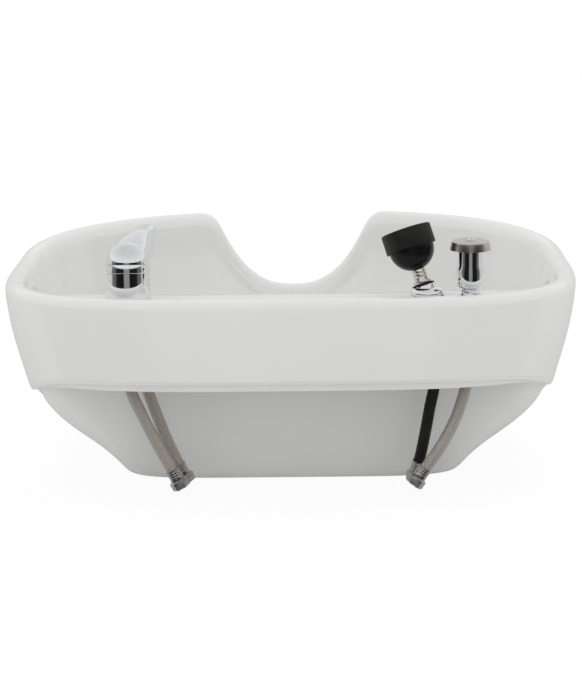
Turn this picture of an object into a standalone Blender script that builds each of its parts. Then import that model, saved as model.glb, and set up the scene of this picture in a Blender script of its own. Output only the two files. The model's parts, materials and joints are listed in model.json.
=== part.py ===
# Ceramic shampoo bowl with a single lever mixer, a pull out spray head in an angled holder
# and a deck mounted vacuum breaker. Lengths are metres, +Z is up, and the photographed rear
# side with the fittings faces -Y. The origin is under the middle of the rim's outline, on the
# flat foot that the bowl stands on.
from collections import namedtuple
from math import atan, cos, hypot, pi, radians, sin, sqrt

import bmesh
import bpy
import numpy as np
from mathutils import Matrix, Vector

# Clearances and cutting values
GAP = 0.0003
RUNNING_GAP = 0.0005
CUT_OVERRUN = 0.004
ROUND_SIDES = 24
SMALL_SIDES = 12
HEX_SIDES = 6
HOLE_TURN = radians(8)
SHARP_ANGLE = radians(35)

# Bowl
BOWL_WIDTH = 0.609
BOWL_DEPTH = 0.490
RIM_HEIGHT = 0.214
NECK_RISE = 0.018
RIM_THICKNESS = 0.022
WIDEST_OFFSET = 0.040
NEAR_SQUARENESS = 4.25
FAR_SQUARENESS = 2.5
WALL = 0.0155
FOOT_HALF_WIDTH = 0.181
FOOT_SETBACK = 0.114
FOOT_NEAR = BOWL_DEPTH / 2 - FOOT_SETBACK
FOOT_FAR = BOWL_DEPTH / 2 - FOOT_SETBACK
FOOT_SQUARENESS = 6.0
FOOT_RING = 0.022
FOOT_EDGE = 0.003
KINK_OUT = 0.011
KINK_HEIGHT = 0.012
POCKET_DEPTH = 0.038
POCKET_DRAFT = 0.008
APRON_LIP_HEIGHT = 0.126
APRON_LIP_END = 0.100
APRON_THICKNESS = 0.014
APRON_CROWN = 0.0015
REAR_WALL_DRAFT = 0.004
DECK_LEVEL = 0.200
DECK_THICKNESS = 0.0122
DECK_FILLET = 0.003
DECK_REACH = 0.1265
BASIN_REAR = BOWL_DEPTH / 2 - DECK_REACH
FLOOR_LEVEL = 0.051
NOTCH_HALF_WIDTH = 0.100
NOTCH_DEPTH = 0.090
NOTCH_POWER = 2.6
NOTCH_FOOT = 0.060
NOTCH_SHOULDER = 0.006
RIM_RISE_POWER = 1.5
TURN_STEP = radians(0.2)
FINE_TURNS = 2000
BOWL_COLUMNS = 72

# Drain
DRAIN_HOLE_RADIUS = 0.024
DRAIN_SEAT_RADIUS = 0.035
DRAIN_SEAT_DROP = 0.004
DRAIN_FLANGE_RADIUS = 0.0325
DRAIN_FLANGE_THICKNESS = 0.003
DRAIN_BODY_RADIUS = 0.022
DRAIN_BORE_RADIUS = 0.019
DRAIN_END_HEIGHT = 0.010
DRAIN_LIP_RADIUS = 0.016
DRAIN_LIP_THICKNESS = 0.002
DRAIN_SEAL_THICKNESS = 0.0012
DRAIN_GASKET_RADIUS = 0.031
DRAIN_GASKET_THICKNESS = 0.0025
DRAIN_WASHER_RADIUS = 0.030
DRAIN_WASHER_THICKNESS = 0.0015
DRAIN_NUT_RADIUS = 0.030
DRAIN_NUT_HEIGHT = 0.008
STRAINER_RADIUS = 0.0185
STRAINER_HEIGHT = 0.014
STRAINER_WALL = 0.0012
STRAINER_KNOB_RADIUS = 0.004
STRAINER_KNOB_HEIGHT = 0.007
STRAINER_HOLE_RADIUS = 0.0016
STRAINER_HOLES = 8
STRAINER_HOLE_SIDES = 8

# Mixer
MIXER_INSET = 0.1405
MIXER_SETBACK = 0.0730
MIXER_X = MIXER_INSET - BOWL_WIDTH / 2
MIXER_Y = MIXER_SETBACK - BOWL_DEPTH / 2
MIXER_RADIUS = 0.023
MIXER_SEAL_THICKNESS = 0.0015
MIXER_SLANT_HEIGHT = 0.2287
MIXER_LEAN = radians(11)
CARTRIDGE_RADIUS = 0.0176
CARTRIDGE_DEPTH = 0.018
CARTRIDGE_NECK_RADIUS = 0.0138
CARTRIDGE_SHOULDER = -0.004
CARTRIDGE_NECK_TOP = 0.0035
CARTRIDGE_SEAL_THICKNESS = 0.0012
CARTRIDGE_NUT_TOP = 0.0025
CARTRIDGE_NUT_SLOTS = 4
CARTRIDGE_NUT_SLOT_WIDTH = 0.004
CARRIER_RADIUS = 0.0095
CARRIER_DEPTH = 0.011
CARRIER_TOP = 0.0132
CARRIER_SLOT = 0.0072
BONNET_HEIGHT = 0.0092
PIVOT_HEIGHT = 0.0097
BONNET_BALL_RADIUS = 0.0196
BONNET_BALL_INSIDE = 0.0182
BONNET_BALL_TOP = 0.008
HANDLE_INSIDE_RADIUS = 0.0203
HANDLE_BOSS_RADIUS = 0.007
HANDLE_BOSS_BOTTOM = 0.0125
HANDLE_GRUB_HEIGHT = 0.0150
HANDLE_BOSS_SINK = 0.0009
HANDLE_GRUB_RADIUS = 0.0015
HANDLE_GRUB_LENGTH = 0.006
LEVER_SWIVEL_REST = radians(-14)
LEVER_CLOSE_ANGLE = radians(20)
LEVER_LENGTH = 0.0667
LEVER_TIP_TOP = 0.0444
LEVER_ARCH_POWER = 0.52
LEVER_PIN_WIDTH = 0.0064
LEVER_PIN_BELOW = 0.010
LEVER_SHANK_WIDTH = 0.005
LEVER_PIN_TOP = 0.0175
PIVOT_PIN_RADIUS = 0.0015
MIXER_HOLE_RADIUS = 0.017
HOSE_PORT_OFFSET = 0.0085
HOSE_PORT_NEAR = 0.0060
OUTLET_PORT_FAR = 0.0015
PORT_RADIUS = 0.0045
MIXER_PORT_DEPTH = 0.005
STUD_OFFSET = 0.0115
STUD_RADIUS = 0.003
STUD_LENGTH = 0.040
OUTLET_RADIUS = 0.0042
OUTLET_LENGTH = 0.034
OUTLET_BORE_RADIUS = 0.0025
CLAMP_RADIUS = 0.021
CLAMP_SEAL_THICKNESS = 0.002
CLAMP_THICKNESS = 0.002
CLAMP_SLOT_WIDTH = 0.0275
CLAMP_SLOT_END = 0.0065
STUD_NUT_RADIUS = 0.0055
STUD_NUT_HEIGHT = 0.006

# Deck plate shared by the spray holder and the vacuum breaker
BREAKER_INSET = 0.1210
HOLDER_INSET = 0.1645
FITTINGS_SETBACK = 0.0715
BREAKER_X = BOWL_WIDTH / 2 - BREAKER_INSET
HOLDER_X = BOWL_WIDTH / 2 - HOLDER_INSET
FITTINGS_Y = FITTINGS_SETBACK - BOWL_DEPTH / 2
SLOT_RADIUS = 0.0160
SLOT_SHORT = 0.0055
PLATE_HALF_WIDTH = 0.0187
PLATE_THICKNESS = 0.0035
PLATE_EDGE = 0.001
PLATE_SEAL_THICKNESS = 0.001
UNDER_PLATE_THICKNESS = 0.0025
UNDER_SEAL_THICKNESS = 0.0015
HOLDER_SHANK_RADIUS = 0.0150
HOLDER_SHANK_BORE = 0.0127
HOLDER_SHANK_END = 0.1760
HOLDER_BORE_TOP = 0.1985
HOLDER_DOME_RADIUS = 0.0175
HOLDER_DOME_HEIGHT = 0.0080
HOLDER_DOME_TOP_RADIUS = 0.0105
HOLDER_TOP_LEFT = 0.0035
HOLDER_TOP_AWAY = 0.0020
HOLDER_TOP_HEIGHT = 0.2136
HOLDER_LEAN_LEFT = radians(18)
HOLDER_LEAN_AWAY = radians(15)
HOLDER_SLEEVE_RADIUS = 0.0120
HOLDER_SLEEVE_BORE = 0.0100
HOLDER_SLEEVE_DEPTH = 0.0120
HOLDER_SLEEVE_BORE_DEPTH = 0.0230
HOLDER_BUSH_BORE = 0.0085
HOLDER_BUSH_LENGTH = 0.0085
HOLDER_BUSH_LIP_RADIUS = 0.0114
HOLDER_BUSH_LIP = 0.0018
LOCKNUT_RADIUS = 0.0200
LOCKNUT_HEIGHT = 0.006

# Vacuum breaker
BREAKER_SHANK_RADIUS = 0.0090
BREAKER_SHANK_END = 0.1720
BREAKER_BORE_RADIUS = 0.0060
BREAKER_FOOT_RADIUS = 0.0102
BREAKER_FOOT_TOP = 0.2095
BREAKER_BULGE_RADIUS = 0.0140
BREAKER_BULGE_BOTTOM = 0.2145
BREAKER_BULGE_TOP = 0.2270
BREAKER_NECK_RADIUS = 0.0124
BREAKER_NECK_BOTTOM = 0.2362
BREAKER_NECK_TOP = 0.2515
BREAKER_CHAMBER_RADIUS = 0.0098
BREAKER_CHAMBER_BOTTOM = 0.2240
BREAKER_NUT_RADIUS = 0.0150
BREAKER_NUT_HEIGHT = 0.005
BRIDGE_WIDTH = 0.006
BRIDGE_THICKNESS = 0.002
CAP_RADIUS = 0.0209
CAP_BOTTOM = 0.2508
CAP_TOP = 0.2600
CAP_EDGE = 0.0018
CAP_SKIRT = 0.0022
CAP_TAPER = 0.0016
CAP_CROWN = 0.0022
CAP_BOSS_RADIUS = 0.0045
CAP_SCREW_RADIUS = 0.0016
CAP_SCREW_HEAD_RADIUS = 0.0034
CAP_SCREW_HEAD_HEIGHT = 0.0016
FLOAT_RADIUS = 0.0088
FLOAT_HEIGHT = 0.006
FLOAT_STEM_RADIUS = 0.0030
FLOAT_STEM_LENGTH = 0.010
SEAT_SEAL_THICKNESS = 0.0012
SEAT_SEAL_BORE = 0.0050
TEE_RADIUS = 0.0125
TEE_TOP = 0.1770
TEE_HEIGHT = 0.0210
TEE_NIPPLE_RADIUS = 0.0060
TEE_NIPPLE_LENGTH = 0.0160

# Spray head, measured along its own axis from the top of the holder
ADAPTER_TAIL_RADIUS = 0.0080
ADAPTER_TAIL_DEPTH = 0.0110
ADAPTER_CUP_DEPTH = 0.0075
ADAPTER_COLLAR_RADIUS = 0.0092
ADAPTER_COLLAR_HEIGHT = 0.0030
ADAPTER_NECK_RADIUS = 0.0072
ADAPTER_TOP = 0.0170
ADAPTER_SPIGOT_RADIUS = 0.0047
ADAPTER_SPIGOT_TOP = 0.0225
ADAPTER_BORE = 0.0030
SPRAY_BALL_RADIUS = 0.0232
SPRAY_BALL_CENTRE = 0.0402
SPRAY_BALL_TOP = 0.0535
SPRAY_WALL = 0.0022
BALL_STEPS = 6
SPRAY_COLLAR_BOTTOM = 0.0400
SPRAY_COLLAR_TOP = 0.0600
SPRAY_COLLAR_RADIUS = 0.0258
SPRAY_COLLAR_EDGE = 0.0015
SPRAY_COLLAR_LIP = 0.0020
SPRAY_COLLAR_LIP_RADIUS = 0.0210
SPRAY_SEAL_THICKNESS = 0.0015
SPRAY_SEAL_BORE = 0.0150
SPRAY_FACE_RADIUS = 0.0205
SPRAY_FACE_STEP = 0.0012
NOZZLE_RADIUS = 0.0011
NOZZLE_RING_SPACING = 0.0075
NOZZLE_RINGS = 2
NOZZLES_PER_RING = 6

# Hoses and their ends
HOSE_RADIUS = 0.0060
HOSE_BEVEL_RESOLUTION = 2
HOSE_POINTS = 24
FERRULE_RADIUS = 0.0072
FERRULE_CUP_DEPTH = 0.0080
FERRULE_HEAD = 0.0032
STEM_RADIUS = 0.0042
STEM_BORE_RADIUS = 0.0020
END_TAIL_LENGTH = 0.0085
END_FLANGE_RADIUS = 0.0066
END_FLANGE_THICKNESS = 0.0015
SWIVEL_NUT_RADIUS = 0.0100
SWIVEL_NUT_LENGTH = 0.0100
SWIVEL_NUT_BORE = 0.0074
SWIVEL_NUT_LIP = 0.0025

# Routes of the hoses, from the upper end to the lower one: places across and along the deck
# are measured from the mixer, the breaker or the holder, and heights from the foot.
HOT_HOSE_ROUTE = [(-0.0085, -0.0060, 0.1790), (-0.0085, -0.0060, 0.1680), (-0.0082, -0.0080, 0.1520),
                  (-0.0060, -0.0110, 0.1340), (0.0020, -0.0150, 0.1080), (0.0140, -0.0185, 0.0820),
                  (0.0270, -0.0210, 0.0560), (0.0365, -0.0220, 0.0380), (0.0455, -0.0225, 0.0215)]
COLD_HOSE_ROUTE = [(0.0085, -0.0060, 0.1790), (0.0085, -0.0060, 0.1680), (0.0087, -0.0045, 0.1520),
                   (0.0110, -0.0020, 0.1340), (0.0170, -0.0005, 0.1080), (0.0255, 0.0000, 0.0820),
                   (0.0350, 0.0000, 0.0560), (0.0427, -0.0002, 0.0380), (0.0500, -0.0005, 0.0215)]
BREAKER_HOSE_ROUTE = [(0.0000, 0.0000, 0.1480), (0.0000, 0.0000, 0.1370), (-0.0015, -0.0020, 0.1230),
                      (-0.0045, -0.0050, 0.1080), (-0.0135, -0.0105, 0.0810), (-0.0265, -0.0160, 0.0560),
                      (-0.0385, -0.0190, 0.0380), (-0.0510, -0.0210, 0.0215)]
SPRAY_HOSE_ROUTE = [(0.0036, -0.0038, 0.1780), (0.0067, -0.0058, 0.1620), (0.0083, -0.0073, 0.1440),
                    (0.0080, -0.0093, 0.1260), (0.0062, -0.0095, 0.1080), (0.0027, -0.0077, 0.0900),
                    (-0.0005, -0.0045, 0.0700), (-0.0035, -0.0013, 0.0520), (-0.0065, 0.0017, 0.0355),
                    (-0.0095, 0.0035, 0.0215)]

Section = namedtuple("Section", "side near far z_side z_near z_far centre near_e far_e wrap")


def clear_scene():
    for item in list(bpy.data.objects):
        bpy.data.objects.remove(item, do_unlink=True)


def material(name, colour, roughness, metallic=0.0):
    made = bpy.data.materials.new(name)
    made.use_nodes = True
    shader = made.node_tree.nodes["Principled BSDF"]
    shader.inputs["Base Color"].default_value = (*colour, 1.0)
    shader.inputs["Roughness"].default_value = roughness
    shader.inputs["Metallic"].default_value = metallic
    return made


CHROME = ((0.80, 0.81, 0.82), 0.08, 1.0)
NICKEL = ((0.52, 0.50, 0.46), 0.32, 1.0)
BRASS = ((0.70, 0.52, 0.26), 0.30, 1.0)
STEEL = ((0.60, 0.60, 0.59), 0.35, 1.0)
BRAID = ((0.50, 0.47, 0.43), 0.42, 1.0)
CERAMIC = ((0.84, 0.84, 0.82), 0.10, 0.0)
RUBBER = ((0.02, 0.02, 0.02), 0.75, 0.0)
BLACK_GLOSS = ((0.012, 0.012, 0.012), 0.12, 0.0)
BLACK_MATT = ((0.025, 0.025, 0.025), 0.55, 0.0)
PALE_PLASTIC = ((0.72, 0.72, 0.70), 0.45, 0.0)
BLUE_PLASTIC = ((0.10, 0.22, 0.50), 0.45, 0.0)


def new_object(name, mesh, finish, matrix=None):
    thing = bpy.data.objects.new(name, mesh)
    bpy.context.scene.collection.objects.link(thing)
    if finish is not None:
        mesh.materials.append(material(name, *finish))
    if matrix is not None:
        thing.matrix_world = matrix
    return thing


def finish_mesh(bm, name, smooth=True):
    bmesh.ops.recalc_face_normals(bm, faces=bm.faces)
    mesh = bpy.data.meshes.new(name)
    bm.to_mesh(mesh)
    bm.free()
    if smooth:
        mesh.shade_smooth()
        mesh.set_sharp_from_angle(angle=SHARP_ANGLE)
    return mesh


def turned_mesh(name, profile, sides=ROUND_SIDES, start=0.0):
    """Closed solid turned about Z from a closed loop of (radius, height) points."""
    bm = bmesh.new()
    rings = []
    for radius, height in profile:
        if radius == 0:
            rings.append([bm.verts.new((0, 0, height))])
            continue
        turn = [start + 2 * pi * k / sides for k in range(sides)]
        rings.append([bm.verts.new((radius * cos(a), radius * sin(a), height)) for a in turn])
    closed = profile[0][0] > 0 or profile[-1][0] > 0
    pairs = list(zip(rings, rings[1:])) + ([(rings[-1], rings[0])] if closed else [])
    for low, high in pairs:
        join_rings(bm, low, high)
    return finish_mesh(bm, name)


def join_rings(bm, low, high):
    count = max(len(low), len(high))
    for k in range(count):
        corners = [low[k % len(low)], low[(k + 1) % len(low)], high[(k + 1) % len(high)], high[k % len(high)]]
        face = list(dict.fromkeys(corners))
        if len(face) > 2:
            bm.faces.new(face)


def turned(name, profile, finish, matrix, sides=ROUND_SIDES, start=0.0):
    return new_object(name, turned_mesh(name, profile, sides, start), finish, matrix)


def tube_profile(outer, inner, bottom, top):
    return [(outer, bottom), (outer, top), (inner, top), (inner, bottom)]


def rod_profile(radius, bottom, top, edge=0.0):
    if edge:
        return [(0, bottom), (radius, bottom), (radius, top - edge), (radius - edge, top), (0, top)]
    return [(0, bottom), (radius, bottom), (radius, top), (0, top)]


def arc(centre_r, centre_z, radius, start, end, steps):
    """Points of an arc in the (radius, height) plane, angles measured from the radial axis."""
    turn = [start + (end - start) * k / steps for k in range(steps + 1)]
    return [(centre_r + radius * cos(a), centre_z + radius * sin(a)) for a in turn]


def box_mesh(name, size, centre=(0, 0, 0)):
    bm = bmesh.new()
    bmesh.ops.create_cube(bm, size=1.0)
    bmesh.ops.transform(bm, matrix=Matrix.Translation(centre) @ Matrix.Diagonal((*size, 1.0)), verts=bm.verts)
    return finish_mesh(bm, name, smooth=False)


def oblong_mesh(name, left, right, radius, bottom, top, edge=0.0):
    """Upright solid with round ends, its end centres at two places along X."""
    half = SMALL_SIDES // 2
    turn = [pi / 2 + pi * k / half for k in range(half + 1)]
    levels = [(radius, bottom), (radius, top)]
    if edge:
        levels = [(radius, bottom), (radius, top - edge), (radius - edge, top)]
    bm = bmesh.new()
    rings = []
    for reach, height in levels:
        corners = [(left + reach * cos(a), reach * sin(a)) for a in turn]
        corners += [(right - reach * cos(a), -reach * sin(a)) for a in turn]
        rings.append([bm.verts.new((x, y, height)) for x, y in corners])
    for low, high in zip(rings, rings[1:]):
        join_rings(bm, low, high)
    bm.faces.new(rings[0])
    bm.faces.new(rings[-1])
    return finish_mesh(bm, name)


def guide(thing):
    thing.hide_render = True
    thing.display_type = "WIRE"
    return thing


def cutter(name, mesh, matrix):
    return guide(new_object(name, mesh, None, matrix))


def boolean(target, tool, operation="DIFFERENCE"):
    step = target.modifiers.new(tool.name, "BOOLEAN")
    step.operation = operation
    step.solver = "EXACT"
    step.object = tool
    return step


def round_cutter(name, radius, bottom, top, matrix, sides=ROUND_SIDES, start=0.0):
    return cutter(name, turned_mesh(name, rod_profile(radius, bottom, top), sides, start), matrix)


def place(x, y, z=0.0):
    return Matrix.Translation((x, y, z))


def frame_along(origin, axis, side=Vector((1, 0, 0))):
    """Matrix at origin whose Z runs along axis and whose X lies as near side as it can."""
    z = Vector(axis).normalized()
    y = z.cross(side).normalized()
    x = y.cross(z)
    made = Matrix((x, y, z)).transposed().to_4x4()
    made.translation = origin
    return made


def empty(name, matrix):
    thing = bpy.data.objects.new(name, None)
    bpy.context.scene.collection.objects.link(thing)
    thing.matrix_world = matrix
    return thing


def parent_to(child, parent):
    world = child.matrix_world.copy()
    child.parent = parent
    child.matrix_parent_inverse = parent.matrix_world.inverted()
    child.matrix_world = world


# Bowl: every section is a closed ring around the bowl, given by its half width at the sides,
# its reach on the near and far sides, and its height at those three places.
SIDE_CURVE_SHARES = [(0.0, 0.0), (0.201, 0.072), (0.395, 0.138), (0.535, 0.193), (0.655, 0.26),
                     (0.725, 0.32), (0.762, 0.398), (0.788, 0.486), (0.825, 0.569), (0.878, 0.68),
                     (0.935, 0.807), (0.970, 0.912), (1.0, 1.0)]
REAR_WALL_SHARES = [(0.0, 0.0), (0.14, 0.16), (0.30, 0.37), (0.46, 0.60), (0.60, 0.82), (0.67, 0.93)]
RECESS_SHARES = [(0.71, 0.05, 0.985), (0.75, 0.17, 1.0), (0.80, 0.77, 1.0), (0.84, 0.92, 0.975),
                 (0.875, 0.985, 0.89), (0.91, 1.0, 0.72), (0.94, 1.0, 0.60)]
APRON_SHARES = [(0.05, 0.07), (0.13, 0.17), (0.32, 0.40), (0.58, 0.62), (0.80, 0.83)]
BASIN_SHARES = [(1.0, 1.02, 1.0, 0.94), (0.995, 0.98, 0.995, 0.905), (0.99, 0.12, 0.99, 0.865),
                (0.985, 0.04, 0.985, 0.81), (0.977, 0.012, 0.975, 0.75), (0.966, 0.0, 0.955, 0.66),
                (0.952, -0.01, 0.93, 0.54), (0.93, -0.03, 0.90, 0.41), (0.895, -0.09, 0.855, 0.275),
                (0.838, -0.19, 0.785, 0.17), (0.745, -0.33, 0.68, 0.085), (0.54, -0.52, 0.43, 0.03),
                (0.32, -0.68, 0.26, 0.008)]
BASIN_DROP_SHARES = [-0.006, 0.0, 0.0, 0.012, 0.05, 0.14, 0.33, 0.56, 0.74, 0.87, 0.945, 0.98, 0.993]
RIM_ARC_STEPS = 6
LIP_ARC_STEPS = 4
NEAR_HOLD_SHARES = (0.35, 0.85)
LIP_HOLD_SHARES = (0.58, 1.0)
GROWN_SHARE = 0.5
ROUND_POWER = 2
BASIN_ROUNDING_SHARES = (0.6, 0.4)
NOTCH_FADE_SHARES = (8, 2)
NOTCH_ROUNDING_SHARE = 0.7
GASKET_ROOF_SHARE = 1.2


def side_curve(height):
    """Half width of the hull's side at a height, between the kink over the foot and the rim."""
    out_shares = [share[0] for share in SIDE_CURVE_SHARES]
    up_shares = [share[1] for share in SIDE_CURVE_SHARES]
    top = RIM_HEIGHT - RIM_THICKNESS
    share = (height - KINK_HEIGHT) / (top - KINK_HEIGHT)
    kink = FOOT_HALF_WIDTH + KINK_OUT
    return float(kink + (BOWL_WIDTH / 2 - kink) * np.interp(share, up_shares, out_shares))


def hull_section(height, near, near_height, wrap=NEAR_HOLD_SHARES, near_e=NEAR_SQUARENESS):
    side = side_curve(height)
    kink = FOOT_HALF_WIDTH + KINK_OUT
    share = (side - kink) / (BOWL_WIDTH / 2 - kink)
    far_kink = FOOT_FAR + KINK_OUT
    far = far_kink + share * (BOWL_DEPTH / 2 - far_kink)
    grown = FOOT_SQUARENESS + (near_e - FOOT_SQUARENESS) * min(1.0, share / GROWN_SHARE)
    return Section(side, near, far, height, near_height, height, WIDEST_OFFSET * share, grown,
                   FAR_SQUARENESS, wrap)


def foot_sections():
    inner = FOOT_RING
    flat = [(FOOT_HALF_WIDTH - inner, FOOT_NEAR - inner, FOOT_FAR - inner, 0.0),
            (FOOT_HALF_WIDTH, FOOT_NEAR, FOOT_FAR, 0.0),
            (FOOT_HALF_WIDTH + FOOT_EDGE, FOOT_NEAR + FOOT_EDGE / 2, FOOT_FAR + FOOT_EDGE, FOOT_EDGE)]
    return [Section(side, near, far, z, z, z, 0.0, FOOT_SQUARENESS, FAR_SQUARENESS, NEAR_HOLD_SHARES)
            for side, near, far, z in flat]


def rear_sections():
    """The rear wall of the basin, up from the foot to the underside of the deck."""
    under = DECK_LEVEL - DECK_THICKNESS
    made = []
    for side_share, up_share in REAR_WALL_SHARES:
        side_z = KINK_HEIGHT + side_share * (APRON_LIP_END - KINK_HEIGHT)
        near_z = KINK_HEIGHT + up_share * (under - KINK_HEIGHT)
        near = BASIN_REAR + WALL - REAR_WALL_DRAFT * up_share * up_share
        made.append(hull_section(side_z, near, near_z))
    return made


def recess_sections():
    """Under the deck, and down the inside of the apron."""
    under = DECK_LEVEL - DECK_THICKNESS
    start = BASIN_REAR + WALL - REAR_WALL_DRAFT
    end = BOWL_DEPTH / 2 - APRON_CROWN - APRON_THICKNESS
    made = []
    for side_share, out_share, up_share in RECESS_SHARES:
        side_z = KINK_HEIGHT + side_share * (APRON_LIP_END - KINK_HEIGHT)
        made.append(hull_section(side_z, start + out_share * (end - start), under * up_share))
    return made


def lip_sections():
    """The rounded lower lip of the apron, and the apron's outer face."""
    outer = BOWL_DEPTH / 2 - APRON_CROWN
    radius = APRON_THICKNESS / 2
    centre_z = APRON_LIP_HEIGHT + radius
    made = []
    steps = LIP_ARC_STEPS
    for k in range(1, steps + 1):
        turn = pi + pi * k / steps
        near = outer - radius + radius * cos(turn)
        side_z = APRON_LIP_END + (k - steps / 2) * radius / steps
        made.append(hull_section(side_z, near, centre_z + radius * sin(turn), LIP_HOLD_SHARES))
    top = RIM_HEIGHT - RIM_THICKNESS
    for side_share, up_share in APRON_SHARES:
        side_z = APRON_LIP_END + side_share * (top - APRON_LIP_END)
        near_z = APRON_LIP_HEIGHT + up_share * (top - APRON_LIP_HEIGHT)
        near = outer + APRON_CROWN * sin(pi * up_share)
        made.append(hull_section(max(side_z, made[-1].z_side + radius / 2), near, near_z, LIP_HOLD_SHARES))
    return made


def rim_sections():
    radius = RIM_THICKNESS / 2
    made = []
    for k in range(RIM_ARC_STEPS + 1):
        turn = pi * k / RIM_ARC_STEPS
        inset = radius - radius * cos(turn)
        z = RIM_HEIGHT - radius + radius * sin(turn)
        near = BOWL_DEPTH / 2 - APRON_CROWN - inset
        made.append(Section(BOWL_WIDTH / 2 - inset, near, BOWL_DEPTH / 2 - inset,
                            z, z, z, WIDEST_OFFSET, NEAR_SQUARENESS, FAR_SQUARENESS, LIP_HOLD_SHARES))
    return made


def basin_sections():
    """Inside of the bowl: the deck on the near side, the basin's walls and its floor."""
    side_start = BOWL_WIDTH / 2 - RIM_THICKNESS
    near_start = BOWL_DEPTH / 2 - APRON_CROWN - RIM_THICKNESS - DECK_FILLET
    made = []
    for k, (side_share, near_share, far_share, up_share) in enumerate(BASIN_SHARES):
        if near_share >= 0:
            near = BASIN_REAR + near_share * (near_start - BASIN_REAR)
        else:
            near = BASIN_REAR * (1 + near_share)
        drop = BASIN_DROP_SHARES[k]
        near_z = DECK_LEVEL - drop * (DECK_LEVEL - FLOOR_LEVEL)
        z = FLOOR_LEVEL + up_share * (RIM_HEIGHT - FLOOR_LEVEL)
        start, run = BASIN_ROUNDING_SHARES
        fade = min(1.0, 1 - max(0.0, drop - start) / run)
        made.append(Section(side_start * side_share, near, (BOWL_DEPTH / 2 - RIM_THICKNESS) * far_share,
                            z, near_z, z, WIDEST_OFFSET * fade,
                            ROUND_POWER + (NEAR_SQUARENESS - ROUND_POWER) * fade,
                            ROUND_POWER + (FAR_SQUARENESS - ROUND_POWER) * fade, NEAR_HOLD_SHARES))
    return made


def circle_section(radius, height):
    return Section(radius, radius, radius, height, height, height, 0.0, ROUND_POWER, ROUND_POWER,
                   NEAR_HOLD_SHARES)


def drain_sections():
    """The drain's seat and hole, then the roof and the walls of the pocket inside the foot."""
    seat = FLOOR_LEVEL - DRAIN_SEAT_DROP
    inner = FOOT_RING + POCKET_DRAFT
    made = [circle_section(DRAIN_SEAT_RADIUS + DRAIN_SEAT_DROP, FLOOR_LEVEL),
            circle_section(DRAIN_SEAT_RADIUS, seat), circle_section(DRAIN_HOLE_RADIUS, seat),
            circle_section(DRAIN_HOLE_RADIUS, POCKET_DEPTH),
            circle_section(DRAIN_GASKET_RADIUS * GASKET_ROOF_SHARE, POCKET_DEPTH)]
    made.append(Section(FOOT_HALF_WIDTH - inner - POCKET_DRAFT, FOOT_NEAR - inner - POCKET_DRAFT,
                        FOOT_FAR - inner - POCKET_DRAFT, POCKET_DEPTH, POCKET_DEPTH, POCKET_DEPTH, 0.0,
                        FOOT_SQUARENESS, FAR_SQUARENESS, NEAR_HOLD_SHARES))
    low = POCKET_DEPTH - POCKET_DRAFT
    made.append(Section(FOOT_HALF_WIDTH - inner, FOOT_NEAR - inner, FOOT_FAR - inner, low, low, low, 0.0,
                        FOOT_SQUARENESS, FAR_SQUARENESS, NEAR_HOLD_SHARES))
    return made


def bowl_sections():
    return (foot_sections() + rear_sections() + recess_sections() + lip_sections() + rim_sections()
            + basin_sections() + drain_sections())


def ring_reach(turn, side, near, far, centre, near_e, far_e):
    """Point of a ring at an angle: a superellipse about (0, centre) with unlike near and far halves."""
    across = abs(cos(turn)) / side
    if sin(turn) >= 0:
        depth, power = far - centre, far_e
    else:
        depth, power = near + centre, near_e
    reach = (across ** power + (abs(sin(turn)) / depth) ** power) ** (-1 / power)
    return reach * cos(turn), centre + reach * sin(turn)


def smooth_step(value, low, high):
    share = min(1.0, max(0.0, (value - low) / (high - low)))
    return share * share * (3 - 2 * share)


def rim_top(turn):
    """Height of the rim's crest over its near height, without the neck notch, and the notch's depth."""
    x, y = ring_reach(turn, BOWL_WIDTH / 2, BOWL_DEPTH / 2, BOWL_DEPTH / 2, WIDEST_OFFSET,
                      NEAR_SQUARENESS, FAR_SQUARENESS)
    rise = NECK_RISE * max(0.0, y / (BOWL_DEPTH / 2)) ** RIM_RISE_POWER
    notch = 0.0
    if sin(turn) > 0:
        raw = NOTCH_DEPTH * (1 - (abs(x) / NOTCH_HALF_WIDTH) ** NOTCH_POWER)
        soft = (raw + sqrt(raw * raw + NOTCH_SHOULDER ** 2)) / 2
        start, end = (-share * NOTCH_SHOULDER for share in NOTCH_FADE_SHARES)
        notch = soft * smooth_step(raw, start, end)
    return x, y, rise, notch


def section_point(section, turn, rim):
    x, y = ring_reach(turn, section.side, section.near, section.far, section.centre, section.near_e,
                      section.far_e)
    rim_x, rim_y, rise, notch, stretch = rim
    near_share = (WIDEST_OFFSET - rim_y) / (WIDEST_OFFSET + BOWL_DEPTH / 2)
    hold = smooth_step(near_share, *section.wrap)
    z = section.z_side + (section.z_near - section.z_side) * hold
    if rim_y > WIDEST_OFFSET:
        z += (section.z_far - section.z_side) * ((rim_y - WIDEST_OFFSET) / (BOWL_DEPTH / 2 - WIDEST_OFFSET))
    z += rise * max(0.0, (z - FLOOR_LEVEL) / (RIM_HEIGHT - FLOOR_LEVEL)) ** 2
    top = RIM_HEIGHT + rise
    if notch > 0 and z > NOTCH_FOOT:
        below = top - z
        rounding = RIM_THICKNESS / 2
        tall = min(rounding * stretch, (top - notch - NOTCH_FOOT) * NOTCH_ROUNDING_SHARE)
        if below <= rounding:
            z = top - notch - tall * below / rounding
        else:
            share = (below - rounding) / (top - rounding - NOTCH_FOOT)
            z = top - notch - tall - share * (top - notch - tall - NOTCH_FOOT)
    return x, y, z


def rim_data(turn):
    step = TURN_STEP
    x, y, rise, notch = rim_top(turn)
    before, after = rim_top(turn - step), rim_top(turn + step)
    run = hypot(after[0] - before[0], after[1] - before[1])
    slope = (after[3] - before[3]) / run
    return x, y, rise, notch, sqrt(1 + slope * slope)


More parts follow.
